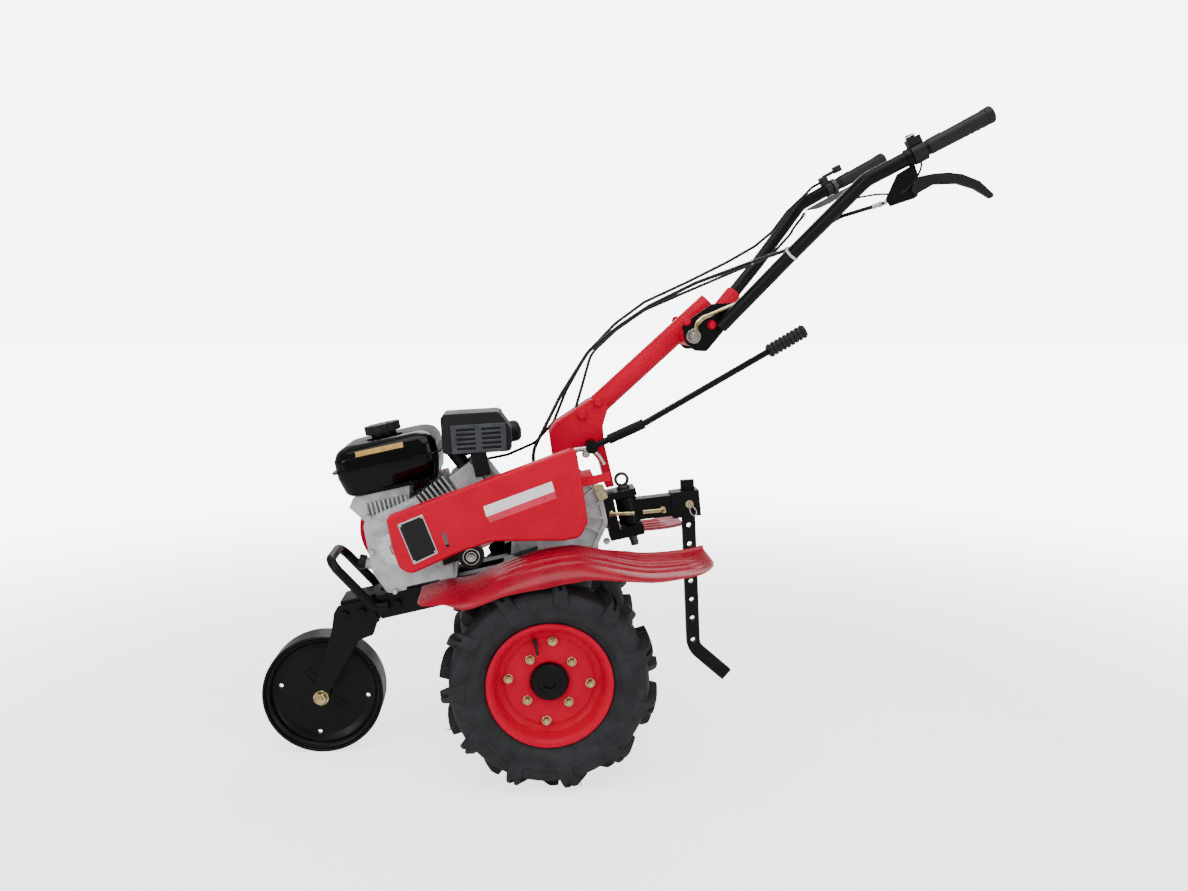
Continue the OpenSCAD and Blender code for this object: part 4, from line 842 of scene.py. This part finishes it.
# Bolts and nuts that face left, by piece: finish, body, slot, and rows of places with their size in mm
boltSets = {
    "caseBolts": ("whiteZinc", "chassis", "zinc_plate", [
        dict(at=[(272, 68, 346), (282, 68, 277), (257, 68, 193)], flats=10, high=6),
        dict(at=[(-168, 60, 294), (-162, 60, 196), (-129, 60, 183), (-60, 60, 196), (-100, 60, 330), (10, 60, 250)],
             flats=10, high=6, washer=14, both=True)]),
    "frameBolts": ("blackEnamel", "chassis", "paint_black", [
        dict(at=[(260, 56, 167), (210, 56, 171), (365, 45.3, 165), (332, 45.3, 163)], flats=13, high=7, washer=20,
             both=True)]),
    "columnBolts": ("redEnamel", "chassis", "paint_red", [
        dict(at=[(-168, 30, 444), (-203, 30, 462)], flats=13, high=7, washer=20, both=True)]),
    "plateBolts": ("redEnamel", "handlebar", "paint_red", [
        dict(at=[(-399, 64, 581), (-446, 64, 564)], flats=13, high=7, washer=18, both=True)]),
    "pivotNut": ("whiteZinc", "handlebar", "zinc_plate", [
        dict(at=[(-407, 64, 550)], flats=19, high=9, washer=28, stud=12)]),
    "noseNuts": ("yellowZinc", "chassis", "zinc_plate", [
        dict(at=[(450, 46.5, 12)], flats=22, high=9, washer=30, stud=12, both=True)]),
}
for name, (look, body, slot, rows) in boltSets.items():
    heads = []
    for row in rows:
        grids = boltGrids(row["at"], leftward, row["flats"], row["high"], row.get("washer", 0), row.get("stud", 0))
        heads += bothSides(grids) if row.get("both") else grids
    addPiece(name, heads, look, body, sharp=30)


def rodGrid(start, end, radius):
    return sweepGrid(np.linspace(start, end, 3), radius, 16, up=(0.2, 0.3, 0.93))


# Hitch: a bolt into the block, a bolt along the drawbar, and a lower pin
hitch = {"bolt": ((-186, 32.5, 240), (-228, 32.5, 232), 4.2), "bar": ((-246, 23.5, 229), (-284, 23.5, 224), 4.4),
         "pin": ((-215, 0, 186), (-220, 0, 166), 8)}
hitchHeads = boltGrids([(-186, 32.5, 240)], (1, 0, 0.19), 12, 7)
addPiece("hitchBolts", [rodGrid(*hitch["bolt"])] + hitchHeads, "yellowZinc", "chassis", sharp=35)
barHeads = boltGrids([(-283, 23.5, 224)], (-1, 0, -0.13), 13, 8)
addPiece("drawbarBolts", [rodGrid(*hitch["bar"])] + barHeads, "yellowZinc", "drawbar", sharp=35)
addPiece("lowerPin", [rodGrid(*hitch["pin"])], "oiledSteel", "chassis")

# Belt tensioner: bright ring and nut on the black idler
idler = {"at": (95, 238), "ring": 15, "wire": 1.6, "ringLeft": 122.4, "nutLeft": 121.8}
idlerU, idlerW = idler["at"]
ringTurn = np.linspace(0, 2 * math.pi, 49)
ringWire = np.stack([idlerU + idler["ring"] * np.cos(ringTurn), 0 * ringTurn + idler["ringLeft"],
                     idlerW + idler["ring"] * np.sin(ringTurn)], -1)
idlerNut = boltGrids([(idlerU, idler["nutLeft"], idlerW)], leftward, 13, 7, washer=20, stud=8)
idlerGrids = [sweepGrid(ringWire, idler["wire"], 10)] + idlerNut
addPiece("idlerRing", idlerGrids, "whiteZinc", "chassis", sharp=30)

# Zinc hose clip over the cover's tail, and a bracket on the gearbox
clipPath = smoothPath([(-137, 62, 385), (-150, 62, 384), (-168, 62, 380), (-180, 62, 364), (-187, 62, 345)], 40)
clipNut = boltGrids([(-158, 64, 373)], leftward, 11, 6, washer=16)
addPiece("hoseClip", [sweepGrid(clipPath, 5.2, 14)] + clipNut, "whiteZinc", "chassis", sharp=30)
flatPatch("boxBracket", [(-158, 312), (-178, 308), (-183, 280), (-166, 276), (-160, 292)], 60.2, 3, "yellowZinc",
          radius=4)

# Spring clip through the stake pin: one wire loop
stakeLoop = smoothPath([(-337, 27, 225), (-345, 28, 218), (-350, 28.5, 207), (-346, 28, 199), (-340, 27, 203),
                        (-338, 26, 212), (-340, 25, 222)], 40)
addPiece("stakeClip", [sweepGrid(stakeLoop, 1.4, 10)], "whiteZinc", "drawbar")

# Handlebar fittings: cable adjuster with its stepped radii, switch wire, rocker, bare cable end, cable ties
upward = (0, 0, 1)
adjuster = np.linspace((-757, 233.5, 716.7), (-733, 227.6, 713.8), 12)
adjusterSteps = np.array([4.6, 4.6, 3.2, 3.2, 5.2, 5.2, 5.2, 4.2, 4.2, 4.8, 4.8, 4.0])
addPiece("cableAdjuster", [sweepGrid(adjuster, adjusterSteps, 18, up=upward)], "whiteZinc", "handlebar")
wire = smoothPath([(-826, 245, 778), (-822, 246, 760), (-806, 244, 740), (-782, 238, 726), (-750, 222, 733),
                   (-716, 198, 736)], 60)
addPiece("switchWire", [sweepGrid(wire, 1.9, 10, up=upward)], "cablePvc", "handlebar")
# the rocker's corners in half lengths, half widths and mm of height; one end stands higher
rocker = {"before": 20, "above": 32, "half": (8, 7),
          "corners": [(-1, -1, 0), (1, -1, 0), (1, 1, 0), (-1, 1, 0),
                      (-0.8, -0.8, 3.5), (0.8, -0.8, 2), (0.8, 0.8, 2), (-0.8, 0.8, 3.5)]}
rockerAt = gripStart - rocker["before"] * gripAlong + rocker["above"] * gripUp
rockerGrid = np.array([rockerAt + a * gripAlong * rocker["half"][0] + b * gripSide * rocker["half"][1] + c * gripUp
                       for a, b, c in rocker["corners"]]).reshape(2, 4, 3)
addPiece("stopRocker", [rockerGrid], "redPlastic", "handlebar", sharp=30)
# the reverse cable's bare wire leaves a ferrule and hooks into its lever
bareWire = np.array([(-738, -226, 736), (-745, -229, 742.5), (-753, -232.4, 749.4)])
reverseEnd = [sweepGrid(bareWire, 0.9, 10, up=upward), sweepGrid(bareWire[:2], 4.0, 16, up=upward)]
addPiece("reverseWire", reverseEnd, "whiteZinc", "handlebar")
# ties round the bar and round two stretches of cable: place, radius, direction of the run
tieHalf = 2.2
tieSpots = [((-604, 132.5, 663), 13.9, (-0.714, 0.444, 0.54)), ((-542, 74, 664.5), 5.0, (0.96, 0, 0.25)),
            ((-604, 106, 673), 5.2, (0.9, 0.4, 0.2))]
ties = []
for place, tieRadius, run in tieSpots:
    step = tieHalf * np.array(run)
    ties.append(sweepGrid(np.array([place - step, place + step]), tieRadius, 24))
addPiece("cableTies", ties, "whiteNylon", "handlebar")
print("fittings placed")
